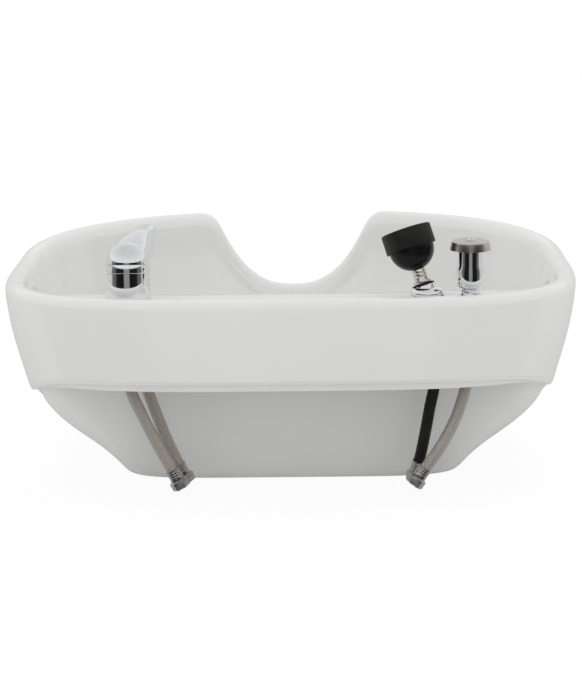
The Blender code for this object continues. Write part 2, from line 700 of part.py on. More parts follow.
def column_turns(columns):
    """Angles that share out the rim's crest evenly, its notch included, mirrored left to right."""
    fine = [(-pi / 2) + pi * k / FINE_TURNS for k in range(FINE_TURNS + 1)]
    points = [(x, y, rise - notch) for x, y, rise, notch in map(rim_top, fine)]
    steps = [Vector(b) - Vector(a) for a, b in zip(points, points[1:])]
    length = np.concatenate([[0.0], np.cumsum([step.length for step in steps])])
    wanted = np.linspace(0, length[-1], columns // 2 + 1)
    right = np.interp(wanted, length, fine)
    left = [pi - turn for turn in right[1:-1]][::-1]
    return list(right) + left


def bowl_mesh(name, sections, columns):
    turns = column_turns(columns)
    rims = [rim_data(turn) for turn in turns]
    bm = bmesh.new()
    rings = [[bm.verts.new(section_point(section, turn, rim)) for turn, rim in zip(turns, rims)]
             for section in sections]
    for low, high in zip(rings, rings[1:] + rings[:1]):
        join_rings(bm, low, high)
    return finish_mesh(bm, name)


def ceramic_bowl():
    bowl = new_object("ceramic_bowl", bowl_mesh("ceramic_bowl", bowl_sections(), BOWL_COLUMNS), CERAMIC)
    bottom = DECK_LEVEL - DECK_THICKNESS - CUT_OVERRUN
    top = DECK_LEVEL + CUT_OVERRUN
    boolean(bowl, round_cutter("mixer_hole", MIXER_HOLE_RADIUS, bottom, top, place(MIXER_X, MIXER_Y),
                               SMALL_SIDES, HOLE_TURN))
    slot = oblong_mesh("fittings_slot", HOLDER_X, BREAKER_X - SLOT_SHORT, SLOT_RADIUS, bottom, top)
    boolean(bowl, cutter("fittings_slot", slot, place(0.0, FITTINGS_Y)))
    return bowl


def drain_parts():
    """Flanged drain body through the floor, with its seals, washer and nut, and the hair strainer."""
    seat = FLOOR_LEVEL - DRAIN_SEAT_DROP
    seal_top = seat + GAP + DRAIN_SEAL_THICKNESS
    turned("drain_seal", tube_profile(DRAIN_FLANGE_RADIUS - GAP, DRAIN_BODY_RADIUS + RUNNING_GAP, seat + GAP,
                                      seal_top), RUBBER, place(0, 0))
    flange = seal_top + GAP
    top = flange + DRAIN_FLANGE_THICKNESS
    body = [(DRAIN_BODY_RADIUS, DRAIN_END_HEIGHT), (DRAIN_BODY_RADIUS, flange),
            (DRAIN_FLANGE_RADIUS, flange), (DRAIN_FLANGE_RADIUS, flange + DRAIN_FLANGE_THICKNESS / 2),
            (DRAIN_FLANGE_RADIUS - DRAIN_FLANGE_THICKNESS / 2, top), (DRAIN_BORE_RADIUS, top),
            (DRAIN_BORE_RADIUS, flange - DRAIN_LIP_THICKNESS),
            (DRAIN_LIP_RADIUS, flange - DRAIN_LIP_THICKNESS),
            (DRAIN_LIP_RADIUS, flange - 2 * DRAIN_LIP_THICKNESS),
            (DRAIN_BORE_RADIUS, flange - 3 * DRAIN_LIP_THICKNESS), (DRAIN_BORE_RADIUS, DRAIN_END_HEIGHT)]
    turned("drain_body", body, CHROME, place(0, 0))
    level = POCKET_DEPTH - GAP
    stack = [("drain_gasket", DRAIN_GASKET_RADIUS, DRAIN_GASKET_THICKNESS, RUBBER),
             ("drain_washer", DRAIN_WASHER_RADIUS, DRAIN_WASHER_THICKNESS, PALE_PLASTIC)]
    for name, radius, thickness, finish in stack:
        turned(name, tube_profile(radius, DRAIN_BODY_RADIUS + RUNNING_GAP, level - thickness, level), finish,
               place(0, 0))
        level -= thickness + GAP
    nut = tube_profile(DRAIN_NUT_RADIUS, DRAIN_BODY_RADIUS + RUNNING_GAP, level - DRAIN_NUT_HEIGHT, level)
    nut_with_round_bore("drain_locknut", nut, BRASS, place(0, 0))
    strainer_basket(flange - DRAIN_LIP_THICKNESS + GAP)


def nut_with_round_bore(name, profile, finish, matrix, sides=ROUND_SIDES):
    """Hexagonal nut with a round bore: a six sided bar with the bore cut out."""
    outer, inner = profile[0][0], profile[2][0]
    bottom, top = profile[0][1], profile[1][1]
    bar = turned(name, rod_profile(outer, bottom, top), finish, matrix, HEX_SIDES)
    bore = round_cutter(name + "_bore", inner, bottom - CUT_OVERRUN, top + CUT_OVERRUN, matrix, sides)
    boolean(bar, bore)
    return bar


def strainer_basket(seat):
    """Domed hair strainer standing on the lip inside the drain, with rows of slots and a knob."""
    cup_top = seat + STRAINER_HEIGHT
    knob = cup_top + STRAINER_KNOB_HEIGHT
    outline = [(STRAINER_RADIUS, seat), (STRAINER_RADIUS, cup_top - STRAINER_WALL),
               (STRAINER_RADIUS - STRAINER_WALL, cup_top), (STRAINER_KNOB_RADIUS / 2, cup_top),
               (STRAINER_KNOB_RADIUS / 2, knob - STRAINER_KNOB_RADIUS),
               (STRAINER_KNOB_RADIUS, knob - STRAINER_WALL),
               (STRAINER_KNOB_RADIUS / 2, knob), (0, knob), (0, cup_top - STRAINER_WALL),
               (STRAINER_RADIUS - 2 * STRAINER_WALL, cup_top - STRAINER_WALL),
               (STRAINER_RADIUS - STRAINER_WALL, cup_top - 2 * STRAINER_WALL),
               (STRAINER_RADIUS - STRAINER_WALL, seat)]
    basket = turned("strainer_basket", open_centre(outline), CHROME, place(0, 0))
    middle = (STRAINER_KNOB_RADIUS + STRAINER_RADIUS) / 2
    for k in range(STRAINER_HOLES):
        turn = 2 * pi * (k + 0.5) / STRAINER_HOLES
        hole = round_cutter(f"strainer_hole_{k}", STRAINER_HOLE_RADIUS, cup_top - CUT_OVERRUN,
                            cup_top + CUT_OVERRUN, place(middle * cos(turn), middle * sin(turn)),
                            STRAINER_HOLE_SIDES)
        boolean(basket, hole)
    return basket


def open_centre(outline):
    """Turned outline that meets the axis: put its two axis points first and last."""
    first = next(k for k, (a, b) in enumerate(zip(outline, outline[1:])) if a[0] == 0 and b[0] == 0)
    return outline[first + 1:] + outline[:first + 1]


def mixer_frame():
    """Frame on the mixer's slanted top, its Z along the leaning axis of the cartridge."""
    axis = Vector((0, sin(MIXER_LEAN), cos(MIXER_LEAN)))
    return frame_along((MIXER_X, MIXER_Y, MIXER_SLANT_HEIGHT), axis)


def lever_frame():
    """Frame at the lever's pivot, its Y towards the lever's tip as photographed."""
    return mixer_frame() @ place(0, 0, PIVOT_HEIGHT) @ Matrix.Rotation(LEVER_SWIVEL_REST, 4, "Z")


def mixer_seat():
    return DECK_LEVEL + GAP + MIXER_SEAL_THICKNESS + GAP


def mixer_parts():
    top = mixer_frame()
    turned("mixer_base_seal", tube_profile(MIXER_RADIUS - GAP, MIXER_HOLE_RADIUS, DECK_LEVEL + GAP,
                                           DECK_LEVEL + GAP + MIXER_SEAL_THICKNESS), RUBBER,
           place(MIXER_X, MIXER_Y))
    mixer_body(top)
    cartridge(top)
    bonnet(top)


def mixer_body(top):
    bottom = mixer_seat()
    high = MIXER_SLANT_HEIGHT + MIXER_RADIUS
    body = turned("mixer_body", rod_profile(MIXER_RADIUS, bottom, high), CHROME, place(MIXER_X, MIXER_Y))
    reach = 3 * MIXER_RADIUS
    slab = box_mesh("slant", (reach, reach, reach), (0, 0, reach / 2))
    boolean(body, cutter("slant_cut", slab, top))
    boolean(body, round_cutter("cartridge_bore", CARTRIDGE_RADIUS + GAP, -CARTRIDGE_DEPTH, CUT_OVERRUN, top))
    under = place(MIXER_X, MIXER_Y, bottom)
    for k, (x, y) in enumerate(mixer_ports()):
        boolean(body, round_cutter(f"port_{k}", PORT_RADIUS, -CUT_OVERRUN, MIXER_PORT_DEPTH,
                                   under @ place(x, y), SMALL_SIDES))
    boolean(body, round_cutter("stud_socket", STUD_RADIUS + GAP, -CUT_OVERRUN, MIXER_PORT_DEPTH,
                               under @ place(0, STUD_OFFSET), SMALL_SIDES))
    return body


def mixer_ports():
    """Hot, cold and mixed outlet ports in the underside of the mixer."""
    return [(-HOSE_PORT_OFFSET, -HOSE_PORT_NEAR), (HOSE_PORT_OFFSET, -HOSE_PORT_NEAR), (0, OUTLET_PORT_FAR)]


def cartridge(top):
    low = -CARTRIDGE_DEPTH + GAP
    turned("cartridge_seal", tube_profile(CARTRIDGE_RADIUS - GAP, CARTRIDGE_RADIUS / 2, low,
                                          low + CARTRIDGE_SEAL_THICKNESS), RUBBER, top)
    low += CARTRIDGE_SEAL_THICKNESS + GAP
    bore = CARRIER_RADIUS + GAP
    carrier_low = -CARRIER_DEPTH
    shell = [(0, low), (CARTRIDGE_RADIUS, low), (CARTRIDGE_RADIUS, CARTRIDGE_SHOULDER),
             (CARTRIDGE_NECK_RADIUS, CARTRIDGE_SHOULDER), (CARTRIDGE_NECK_RADIUS, CARTRIDGE_NECK_TOP),
             (bore, CARTRIDGE_NECK_TOP), (bore, carrier_low - GAP), (0, carrier_low - GAP)]
    turned("cartridge_body", shell, PALE_PLASTIC, top)
    nut_low = CARTRIDGE_SHOULDER + GAP
    nut = turned("cartridge_nut", tube_profile(CARTRIDGE_RADIUS, CARTRIDGE_NECK_RADIUS + GAP, nut_low,
                                               CARTRIDGE_NUT_TOP), BRASS, top)
    reach = 4 * CARTRIDGE_RADIUS
    for k in range(CARTRIDGE_NUT_SLOTS // 2):
        slot = box_mesh("slot", (CARTRIDGE_NUT_SLOT_WIDTH, reach, CUT_OVERRUN), (0, 0, CARTRIDGE_NUT_TOP))
        boolean(nut, cutter(f"nut_slot_{k}", slot, top @ Matrix.Rotation(pi * k / 2, 4, "Z")))
    lever_carrier(top)


def lever_carrier(top):
    """Fork that turns in the cartridge, the lever pin that tilts in it, and the pivot between them."""
    pivot = lever_frame()
    swivel = empty("lever_swivel_axis", top @ Matrix.Rotation(LEVER_SWIVEL_REST, 4, "Z"))
    tilt = empty("lever_tilt_axis", pivot)
    parent_to(tilt, swivel)
    fork = turned("lever_carrier", rod_profile(CARRIER_RADIUS, -CARRIER_DEPTH, CARRIER_TOP), PALE_PLASTIC,
                  swivel.matrix_world)
    deep = PIVOT_HEIGHT - hypot(LEVER_PIN_BELOW, LEVER_PIN_WIDTH / 2) - RUNNING_GAP
    tall = CARRIER_TOP - deep + CUT_OVERRUN
    slot = box_mesh("slot", (CARRIER_SLOT, 4 * CARRIER_RADIUS, tall), (0, 0, deep + tall / 2))
    boolean(fork, cutter("carrier_slot", slot, swivel.matrix_world))
    across = pivot @ Matrix.Rotation(pi / 2, 4, "Y")
    boolean(fork, round_cutter("pivot_hole", PIVOT_PIN_RADIUS + GAP, -2 * CARRIER_RADIUS, 2 * CARRIER_RADIUS,
                               across, SMALL_SIDES))
    half = CARRIER_RADIUS - GAP
    pin = turned("lever_pivot_pin", rod_profile(PIVOT_PIN_RADIUS, -half, half), STEEL, across, SMALL_SIDES)
    lever = lever_pin(pivot, across)
    handle = lever_handle(pivot)
    grub = handle_grub(pivot)
    for piece in (fork, pin):
        parent_to(piece, swivel)
    for piece in (lever, handle, grub):
        parent_to(piece, tilt)


def lever_pin(pivot, across):
    """Flat sided lever pin: a wide block round the pivot and a square shank above it."""
    low, high = -LEVER_PIN_BELOW, HANDLE_BOSS_BOTTOM - GAP
    block = box_mesh("lever_pin", (LEVER_PIN_WIDTH, LEVER_PIN_WIDTH, high - low), (0, 0, (high + low) / 2))
    piece = new_object("lever_pin", block, STEEL, pivot)
    shank = box_mesh("shank", (LEVER_SHANK_WIDTH, LEVER_SHANK_WIDTH, LEVER_PIN_TOP),
                     (0, 0, LEVER_PIN_TOP / 2))
    boolean(piece, cutter("lever_shank", shank, pivot), "UNION")
    boolean(piece, round_cutter("lever_pin_hole", PIVOT_PIN_RADIUS + GAP, -CARRIER_RADIUS, CARRIER_RADIUS,
                                across, SMALL_SIDES))
    return piece


# Lever: how far along its length, half width of the mixer's radius, top and low edge of the tip's height
LEVER_SHARES = [(-0.10, 0.86, 0.45, 0.02), (0.10, 0.87, 0.605, 0.02), (0.30, 0.79, 0.745, 0.04),
                (0.50, 0.68, 0.84, 0.20), (0.68, 0.57, 0.885, 0.45), (0.84, 0.47, 0.93, 0.68),
                (0.95, 0.40, 0.965, 0.81), (1.0, 0.30, 0.985, 0.87)]
ARCH_POINTS = 9
DOME_STEPS = 7


def lever_mesh():
    """Horn shaped lever: arched sections that narrow and rise from the dome to the tip."""
    bm = bmesh.new()
    rings = []
    for run_share, width_share, top_share, low_share in LEVER_SHARES:
        half = MIXER_RADIUS * width_share
        high, low = LEVER_TIP_TOP * top_share, LEVER_TIP_TOP * low_share
        turn = [pi * k / (ARCH_POINTS - 1) for k in range(ARCH_POINTS)]
        ring = [(half * cos(a), LEVER_LENGTH * run_share, low + (high - low) * sin(a) ** LEVER_ARCH_POWER)
                for a in turn]
        rings.append([bm.verts.new(point) for point in ring])
    for near, far in zip(rings, rings[1:]):
        join_rings(bm, near, far)
    bm.faces.new(rings[0])
    bm.faces.new(rings[-1])
    return finish_mesh(bm, "lever")


def lever_handle(pivot):
    """Hollow dome over the bonnet's ball, with the lever, the boss on the lever pin and the grub hole."""
    outer = MIXER_RADIUS
    steps = DOME_STEPS
    dome = [(0, 0), (outer, 0)] + arc(0, 0, outer, pi / 2 / steps, pi / 2, steps - 1)
    dome[-1] = (0, outer)
    handle = turned("lever_handle", dome, CHROME, pivot)
    boolean(handle, cutter("lever_blade", lever_mesh(), pivot), "UNION")
    ball = [(0, -outer), (HANDLE_INSIDE_RADIUS, -outer), (HANDLE_INSIDE_RADIUS, 0)]
    ball += arc(0, 0, HANDLE_INSIDE_RADIUS, pi / 2 / steps, pi / 2, steps - 1)
    ball[-1] = (0, HANDLE_INSIDE_RADIUS)
    boolean(handle, cutter("handle_hollow", turned_mesh("hollow", ball), pivot))
    boss = rod_profile(HANDLE_BOSS_RADIUS, HANDLE_BOSS_BOTTOM, HANDLE_INSIDE_RADIUS + HANDLE_BOSS_SINK)
    boolean(handle, cutter("handle_boss", turned_mesh("boss", boss, SMALL_SIDES), pivot), "UNION")
    width = LEVER_SHANK_WIDTH + 2 * GAP
    socket = box_mesh("socket", (width, width, LEVER_PIN_TOP + GAP), (0, 0, (LEVER_PIN_TOP + GAP) / 2))
    boolean(handle, cutter("handle_socket", socket, pivot))
    wedge = box_mesh("wedge", (4 * outer, 4 * outer, outer), (0, 2 * outer, -GAP - outer / 2))
    boolean(handle, cutter("handle_wedge", wedge, pivot @ Matrix.Rotation(LEVER_CLOSE_ANGLE, 4, "X")))
    boolean(handle, round_cutter("grub_hole", HANDLE_GRUB_RADIUS + GAP, 0, LEVER_LENGTH, grub_frame(pivot),
                                 SMALL_SIDES))
    return handle


def grub_frame(pivot):
    return pivot @ place(0, 0, HANDLE_GRUB_HEIGHT) @ Matrix.Rotation(-pi / 2, 4, "Y")


def handle_grub(pivot):
    start = LEVER_SHANK_WIDTH / 2 + GAP
    return turned("handle_grub_screw",
                  rod_profile(HANDLE_GRUB_RADIUS, start, start + HANDLE_GRUB_LENGTH), STEEL,
                  grub_frame(pivot), SMALL_SIDES)


def bonnet(top):
    """Chrome ring on the mixer's slanted top, drawn up into the ball that the handle rocks on."""
    outer = MIXER_RADIUS
    high = sqrt(BONNET_BALL_RADIUS ** 2 - BONNET_BALL_TOP ** 2)
    inner = sqrt(BONNET_BALL_INSIDE ** 2 - BONNET_BALL_TOP ** 2)
    start = atan((BONNET_HEIGHT - PIVOT_HEIGHT) / BONNET_BALL_RADIUS)
    ring = [(outer, GAP), (outer, BONNET_HEIGHT)]
    ring += arc(0, PIVOT_HEIGHT, BONNET_BALL_RADIUS, start, atan(BONNET_BALL_TOP / high), 3)
    ring += [(inner, PIVOT_HEIGHT + BONNET_BALL_TOP)]
    ring += arc(0, PIVOT_HEIGHT, BONNET_BALL_INSIDE, atan(BONNET_BALL_TOP / inner), 0.0, 2)[1:]
    ring += [(BONNET_BALL_INSIDE, GAP)]
    turned("bonnet_ring", ring, CHROME, top)


def mixer_clamp():
    """Stud, horseshoe seal and plate, and nut that hold the mixer, and its bare outlet nipple."""
    port_top = mixer_seat() + MIXER_PORT_DEPTH - GAP
    stud = place(MIXER_X, MIXER_Y + STUD_OFFSET)
    turned("mixer_stud", rod_profile(STUD_RADIUS, port_top - STUD_LENGTH, port_top), STEEL, stud, SMALL_SIDES)
    turned("mixer_outlet_nipple", tube_profile(OUTLET_RADIUS, OUTLET_BORE_RADIUS, port_top - OUTLET_LENGTH,
                                               port_top), BRASS, place(MIXER_X, MIXER_Y + OUTLET_PORT_FAR),
           SMALL_SIDES)
    level = DECK_LEVEL - DECK_THICKNESS - GAP
    for name, thickness, finish in [("mixer_clamp_seal", CLAMP_SEAL_THICKNESS, RUBBER),
                                    ("mixer_clamp_plate", CLAMP_THICKNESS, STEEL)]:
        plate = turned(name, rod_profile(CLAMP_RADIUS, level - thickness, level), finish,
                       place(MIXER_X, MIXER_Y))
        reach = 2 * CLAMP_RADIUS
        slot = box_mesh(name + "_slot", (CLAMP_SLOT_WIDTH, reach, reach),
                        (0, CLAMP_SLOT_END - reach / 2, level))
        boolean(plate, cutter(name + "_slot", slot, place(MIXER_X, MIXER_Y)))
        boolean(plate, round_cutter(name + "_hole", STUD_RADIUS + GAP, level - reach, level + reach, stud,
                                    SMALL_SIDES))
        level -= thickness + GAP
    nut = tube_profile(STUD_NUT_RADIUS, STUD_RADIUS + GAP, level - STUD_NUT_HEIGHT, level)
    nut_with_round_bore("mixer_stud_nut", nut, BRASS, stud, SMALL_SIDES)


def plate_top():
    return DECK_LEVEL + GAP + PLATE_SEAL_THICKNESS + GAP + PLATE_THICKNESS


def fittings_plate(name, bottom, thickness, finish, edge=0.0, shrink=0.0):
    """Oblong plate or seal with a hole for the holder and one for the breaker."""
    mesh = oblong_mesh(name, HOLDER_X, BREAKER_X - SLOT_SHORT, PLATE_HALF_WIDTH - shrink, bottom,
                       bottom + thickness, edge)
    plate = new_object(name, mesh, finish, place(0, FITTINGS_Y))
    for x, radius in [(HOLDER_X, HOLDER_SHANK_RADIUS), (BREAKER_X, BREAKER_SHANK_RADIUS)]:
        boolean(plate, round_cutter(f"{name}_hole_{radius}", radius + GAP, bottom - CUT_OVERRUN,
                                    bottom + thickness + CUT_OVERRUN, place(x, FITTINGS_Y)))
    return plate


def fittings_plates():
    fittings_plate("plate_seal", DECK_LEVEL + GAP, PLATE_SEAL_THICKNESS, RUBBER, shrink=GAP)
    fittings_plate("deck_plate", plate_top() - PLATE_THICKNESS, PLATE_THICKNESS, CHROME, edge=PLATE_EDGE)
    level = DECK_LEVEL - DECK_THICKNESS - GAP - UNDER_SEAL_THICKNESS
    fittings_plate("under_seal", level, UNDER_SEAL_THICKNESS, RUBBER, shrink=GAP)
    level -= GAP + UNDER_PLATE_THICKNESS
    fittings_plate("under_plate", level, UNDER_PLATE_THICKNESS, STEEL)
    level -= GAP
    for name, x, outer, shank, height in [
            ("holder_locknut", HOLDER_X, LOCKNUT_RADIUS, HOLDER_SHANK_RADIUS, LOCKNUT_HEIGHT),
            ("breaker_locknut", BREAKER_X, BREAKER_NUT_RADIUS, BREAKER_SHANK_RADIUS, BREAKER_NUT_HEIGHT)]:
        nut_with_round_bore(name, tube_profile(outer, shank + GAP, level - height, level), BRASS,
                            place(x, FITTINGS_Y))


def holder_frame():
    """Frame at the top of the leaning holder, its Z up along the spray head's axis."""
    away = sin(HOLDER_LEAN_AWAY) * cos(HOLDER_LEAN_LEFT)
    axis = Vector((-sin(HOLDER_LEAN_LEFT) * cos(HOLDER_LEAN_AWAY), away,
                   cos(HOLDER_LEAN_LEFT) * cos(HOLDER_LEAN_AWAY)))
    top = (HOLDER_X - HOLDER_TOP_LEFT, FITTINGS_Y + HOLDER_TOP_AWAY, HOLDER_TOP_HEIGHT)
    return frame_along(top, axis)


def spray_holder(frame):
    """Threaded shank, low dome and leaning sleeve, bored through for the hose."""
    seat = plate_top() + GAP
    upright = place(HOLDER_X, FITTINGS_Y)
    top = seat + HOLDER_DOME_HEIGHT
    outline = [(0, seat - CUT_OVERRUN), (HOLDER_DOME_RADIUS, seat - CUT_OVERRUN),
               (HOLDER_DOME_RADIUS, seat + PLATE_EDGE)]
    wide, tall = HOLDER_DOME_RADIUS - HOLDER_DOME_TOP_RADIUS, HOLDER_DOME_HEIGHT - PLATE_EDGE
    outline += [(HOLDER_DOME_TOP_RADIUS + wide * cos(pi * k / 8), seat + PLATE_EDGE + tall * sin(pi * k / 8))
                for k in (1, 2, 3)]
    outline += [(HOLDER_DOME_TOP_RADIUS, top), (0, top)]
    holder = turned("spray_holder", outline, CHROME, upright)
    boolean(holder, round_cutter("holder_sleeve", HOLDER_SLEEVE_RADIUS, -HOLDER_SLEEVE_DEPTH, 0, frame),
            "UNION")
    reach = 4 * HOLDER_DOME_RADIUS
    under = box_mesh("holder_under", (reach, reach, reach), (0, 0, seat - reach / 2))
    boolean(holder, cutter("holder_under", under, upright))
    boolean(holder, round_cutter("holder_shank", HOLDER_SHANK_RADIUS, HOLDER_SHANK_END, seat + PLATE_EDGE,
                                 upright), "UNION")
    boolean(holder, round_cutter("holder_shank_bore", HOLDER_SHANK_BORE, HOLDER_SHANK_END - CUT_OVERRUN,
                                 HOLDER_BORE_TOP, upright))
    boolean(holder, round_cutter("holder_seat", HOLDER_SLEEVE_RADIUS + GAP, -GAP / 2, reach, frame))
    boolean(holder, round_cutter("holder_sleeve_bore", HOLDER_SLEEVE_BORE, -HOLDER_SLEEVE_BORE_DEPTH,
                                 CUT_OVERRUN, frame))
    lip_top = GAP + HOLDER_BUSH_LIP
    bush = HOLDER_SLEEVE_BORE - GAP
    turned("holder_bush", [(bush, -HOLDER_BUSH_LENGTH), (bush, GAP), (HOLDER_BUSH_LIP_RADIUS, GAP),
                           (HOLDER_BUSH_LIP_RADIUS, lip_top), (HOLDER_BUSH_BORE, lip_top),
                           (HOLDER_BUSH_BORE, -HOLDER_BUSH_LENGTH)], BLACK_MATT, frame)


BREAKER_FLARE_SHARES = [(0.12, 0.14), (0.42, 0.42), (0.80, 0.72)]


def vacuum_breaker():
    upright = place(BREAKER_X, FITTINGS_Y)
    seat = plate_top() + GAP
    body = [(BREAKER_SHANK_RADIUS, BREAKER_SHANK_END), (BREAKER_SHANK_RADIUS, seat),
            (BREAKER_FOOT_RADIUS, seat), (BREAKER_FOOT_RADIUS, BREAKER_FOOT_TOP)]
    rise = BREAKER_BULGE_BOTTOM - BREAKER_FOOT_TOP
    out = BREAKER_BULGE_RADIUS - BREAKER_FOOT_RADIUS
    body += [(BREAKER_FOOT_RADIUS + out * share, BREAKER_FOOT_TOP + rise * up)
             for share, up in BREAKER_FLARE_SHARES]
    body += [(BREAKER_BULGE_RADIUS, BREAKER_BULGE_BOTTOM), (BREAKER_BULGE_RADIUS, BREAKER_BULGE_TOP),
             (BREAKER_NECK_RADIUS, BREAKER_NECK_BOTTOM), (BREAKER_NECK_RADIUS, BREAKER_NECK_TOP),
             (BREAKER_CHAMBER_RADIUS, BREAKER_NECK_TOP), (BREAKER_CHAMBER_RADIUS, BREAKER_CHAMBER_BOTTOM),
             (BREAKER_BORE_RADIUS, BREAKER_CHAMBER_BOTTOM), (BREAKER_BORE_RADIUS, BREAKER_SHANK_END)]
    turned("breaker_body", body, CHROME, upright)
    low = BREAKER_CHAMBER_BOTTOM + GAP
    turned("breaker_seat_seal", tube_profile(BREAKER_CHAMBER_RADIUS - GAP, SEAT_SEAL_BORE, low,
                                             low + SEAT_SEAL_THICKNESS), RUBBER, upright, SMALL_SIDES)
    low += SEAT_SEAL_THICKNESS + GAP
    slider = [(0, low - FLOAT_STEM_LENGTH), (FLOAT_STEM_RADIUS, low - FLOAT_STEM_LENGTH),
              (FLOAT_STEM_RADIUS, low), (FLOAT_RADIUS, low), (FLOAT_RADIUS, low + FLOAT_HEIGHT),
              (0, low + FLOAT_HEIGHT)]
    piece = turned("breaker_float", slider, BLUE_PLASTIC, upright, SMALL_SIDES)
    parent_to(piece, empty("float_axis", upright @ place(0, 0, low)))
    breaker_cap(upright)
    breaker_tee(upright)


def breaker_cap(upright):
    """Bridge across the top of the breaker, and the vent cap screwed to it."""
    low = BREAKER_NECK_TOP + GAP
    high = low + BRIDGE_THICKNESS
    bar = box_mesh("bridge", (2 * BREAKER_NECK_RADIUS, BRIDGE_WIDTH, BRIDGE_THICKNESS),
                   (0, 0, (low + high) / 2))
    bridge = new_object("breaker_bridge", bar, STEEL, upright)
    hole = CAP_SCREW_RADIUS + GAP
    boolean(bridge, round_cutter("bridge_hole", hole, low - CUT_OVERRUN, high + CUT_OVERRUN, upright,
                                 SMALL_SIDES))
    ceiling = CAP_TOP - CAP_CROWN
    skirt = CAP_RADIUS - CAP_SKIRT
    shoulder = CAP_RADIUS - CAP_TAPER
    turned("breaker_cap", [(CAP_BOSS_RADIUS, high + GAP), (CAP_BOSS_RADIUS, ceiling),
                           (skirt - CAP_TAPER, ceiling), (skirt, CAP_BOTTOM), (CAP_RADIUS, CAP_BOTTOM),
                           (shoulder, CAP_TOP - CAP_EDGE), (shoulder - CAP_EDGE, CAP_TOP), (hole, CAP_TOP),
                           (hole, high + GAP)], NICKEL, upright)
    head = CAP_TOP + GAP
    turned("breaker_cap_screw", [(0, low), (CAP_SCREW_RADIUS, low), (CAP_SCREW_RADIUS, head),
                                 (CAP_SCREW_HEAD_RADIUS, head),
                                 (CAP_SCREW_HEAD_RADIUS / 2, head + CAP_SCREW_HEAD_HEIGHT),
                                 (0, head + CAP_SCREW_HEAD_HEIGHT)], CHROME, upright, SMALL_SIDES)


def breaker_tee(upright):
    """Brass tee under the breaker, with a socket for its hose and a bare nipple."""
    bottom = TEE_TOP - TEE_HEIGHT
    tee = turned("breaker_tee", rod_profile(TEE_RADIUS, bottom, TEE_TOP), BRASS, upright)
    middle = bottom + TEE_NIPPLE_RADIUS + CAP_EDGE + MIXER_PORT_DEPTH / 2
    side = upright @ place(0, 0, middle) @ Matrix.Rotation(pi / 2, 4, "X")
    reach = TEE_RADIUS + TEE_NIPPLE_LENGTH
    boolean(tee, round_cutter("tee_nipple", TEE_NIPPLE_RADIUS, TEE_RADIUS / 2, reach, side), "UNION")
    boolean(tee, round_cutter("tee_socket", BREAKER_SHANK_RADIUS + GAP, BREAKER_SHANK_END - GAP,
                              TEE_TOP + CUT_OVERRUN, upright))
    boolean(tee, round_cutter("tee_bore", PORT_RADIUS, bottom - CUT_OVERRUN, TEE_TOP, upright, SMALL_SIDES))
    boolean(tee, round_cutter("tee_side_bore", PORT_RADIUS - STEM_BORE_RADIUS / 2, 0,
                              reach + CUT_OVERRUN, side,
                              SMALL_SIDES))


def spray_head(frame):
    """Adapter, ball, collar, seal and nozzle face, all turned on the holder's leaning axis."""
    lift = empty("spray_lift_axis", frame)
    collar = 2 * GAP + HOLDER_BUSH_LIP
    neck = collar + ADAPTER_COLLAR_HEIGHT
    cup, tail = HOSE_RADIUS + GAP, -ADAPTER_TAIL_DEPTH
    floor = tail + ADAPTER_CUP_DEPTH
    pieces = [turned("spray_adapter", [
        (ADAPTER_TAIL_RADIUS, tail), (ADAPTER_TAIL_RADIUS, collar), (ADAPTER_COLLAR_RADIUS, collar),
        (ADAPTER_COLLAR_RADIUS, neck), (ADAPTER_NECK_RADIUS, neck), (ADAPTER_NECK_RADIUS, ADAPTER_TOP),
        (ADAPTER_SPIGOT_RADIUS, ADAPTER_TOP), (ADAPTER_SPIGOT_RADIUS, ADAPTER_SPIGOT_TOP),
        (ADAPTER_BORE, ADAPTER_SPIGOT_TOP), (ADAPTER_BORE, floor), (cup, floor), (cup, tail)], CHROME, frame)]
    inner = SPRAY_BALL_RADIUS - SPRAY_WALL
    hole = ADAPTER_SPIGOT_RADIUS + GAP
    low = -sqrt(SPRAY_BALL_RADIUS ** 2 - hole ** 2)
    low_inner = -sqrt(inner ** 2 - hole ** 2)
    steps = BALL_STEPS
    ball = arc(0, SPRAY_BALL_CENTRE, SPRAY_BALL_RADIUS, atan(low / hole), 0.0, steps)
    ball += [(SPRAY_BALL_RADIUS, SPRAY_BALL_TOP), (inner, SPRAY_BALL_TOP)]
    ball += arc(0, SPRAY_BALL_CENTRE, inner, 0.0, atan(low_inner / hole), steps)
    pieces.append(turned("spray_ball", ball, BLACK_GLOSS, frame))
    bore = SPRAY_BALL_RADIUS + GAP
    lip = SPRAY_COLLAR_TOP - SPRAY_COLLAR_LIP
    pieces.append(turned("spray_collar", [
        (SPRAY_COLLAR_RADIUS, SPRAY_COLLAR_BOTTOM),
        (SPRAY_COLLAR_RADIUS, SPRAY_COLLAR_TOP - SPRAY_COLLAR_EDGE),
        (SPRAY_COLLAR_RADIUS - SPRAY_COLLAR_EDGE, SPRAY_COLLAR_TOP),
        (SPRAY_COLLAR_LIP_RADIUS, SPRAY_COLLAR_TOP),
        (SPRAY_COLLAR_LIP_RADIUS, lip), (bore, lip), (bore, SPRAY_COLLAR_BOTTOM)], BLACK_MATT, frame))
    seal = SPRAY_BALL_TOP + GAP
    pieces.append(turned("spray_seal", tube_profile(SPRAY_BALL_RADIUS, SPRAY_SEAL_BORE, seal,
                                                    seal + SPRAY_SEAL_THICKNESS), RUBBER, frame))
    pieces.append(spray_face(frame, seal + SPRAY_SEAL_THICKNESS + GAP, lip - GAP))
    for piece in pieces:
        parent_to(piece, lift)
    return lift


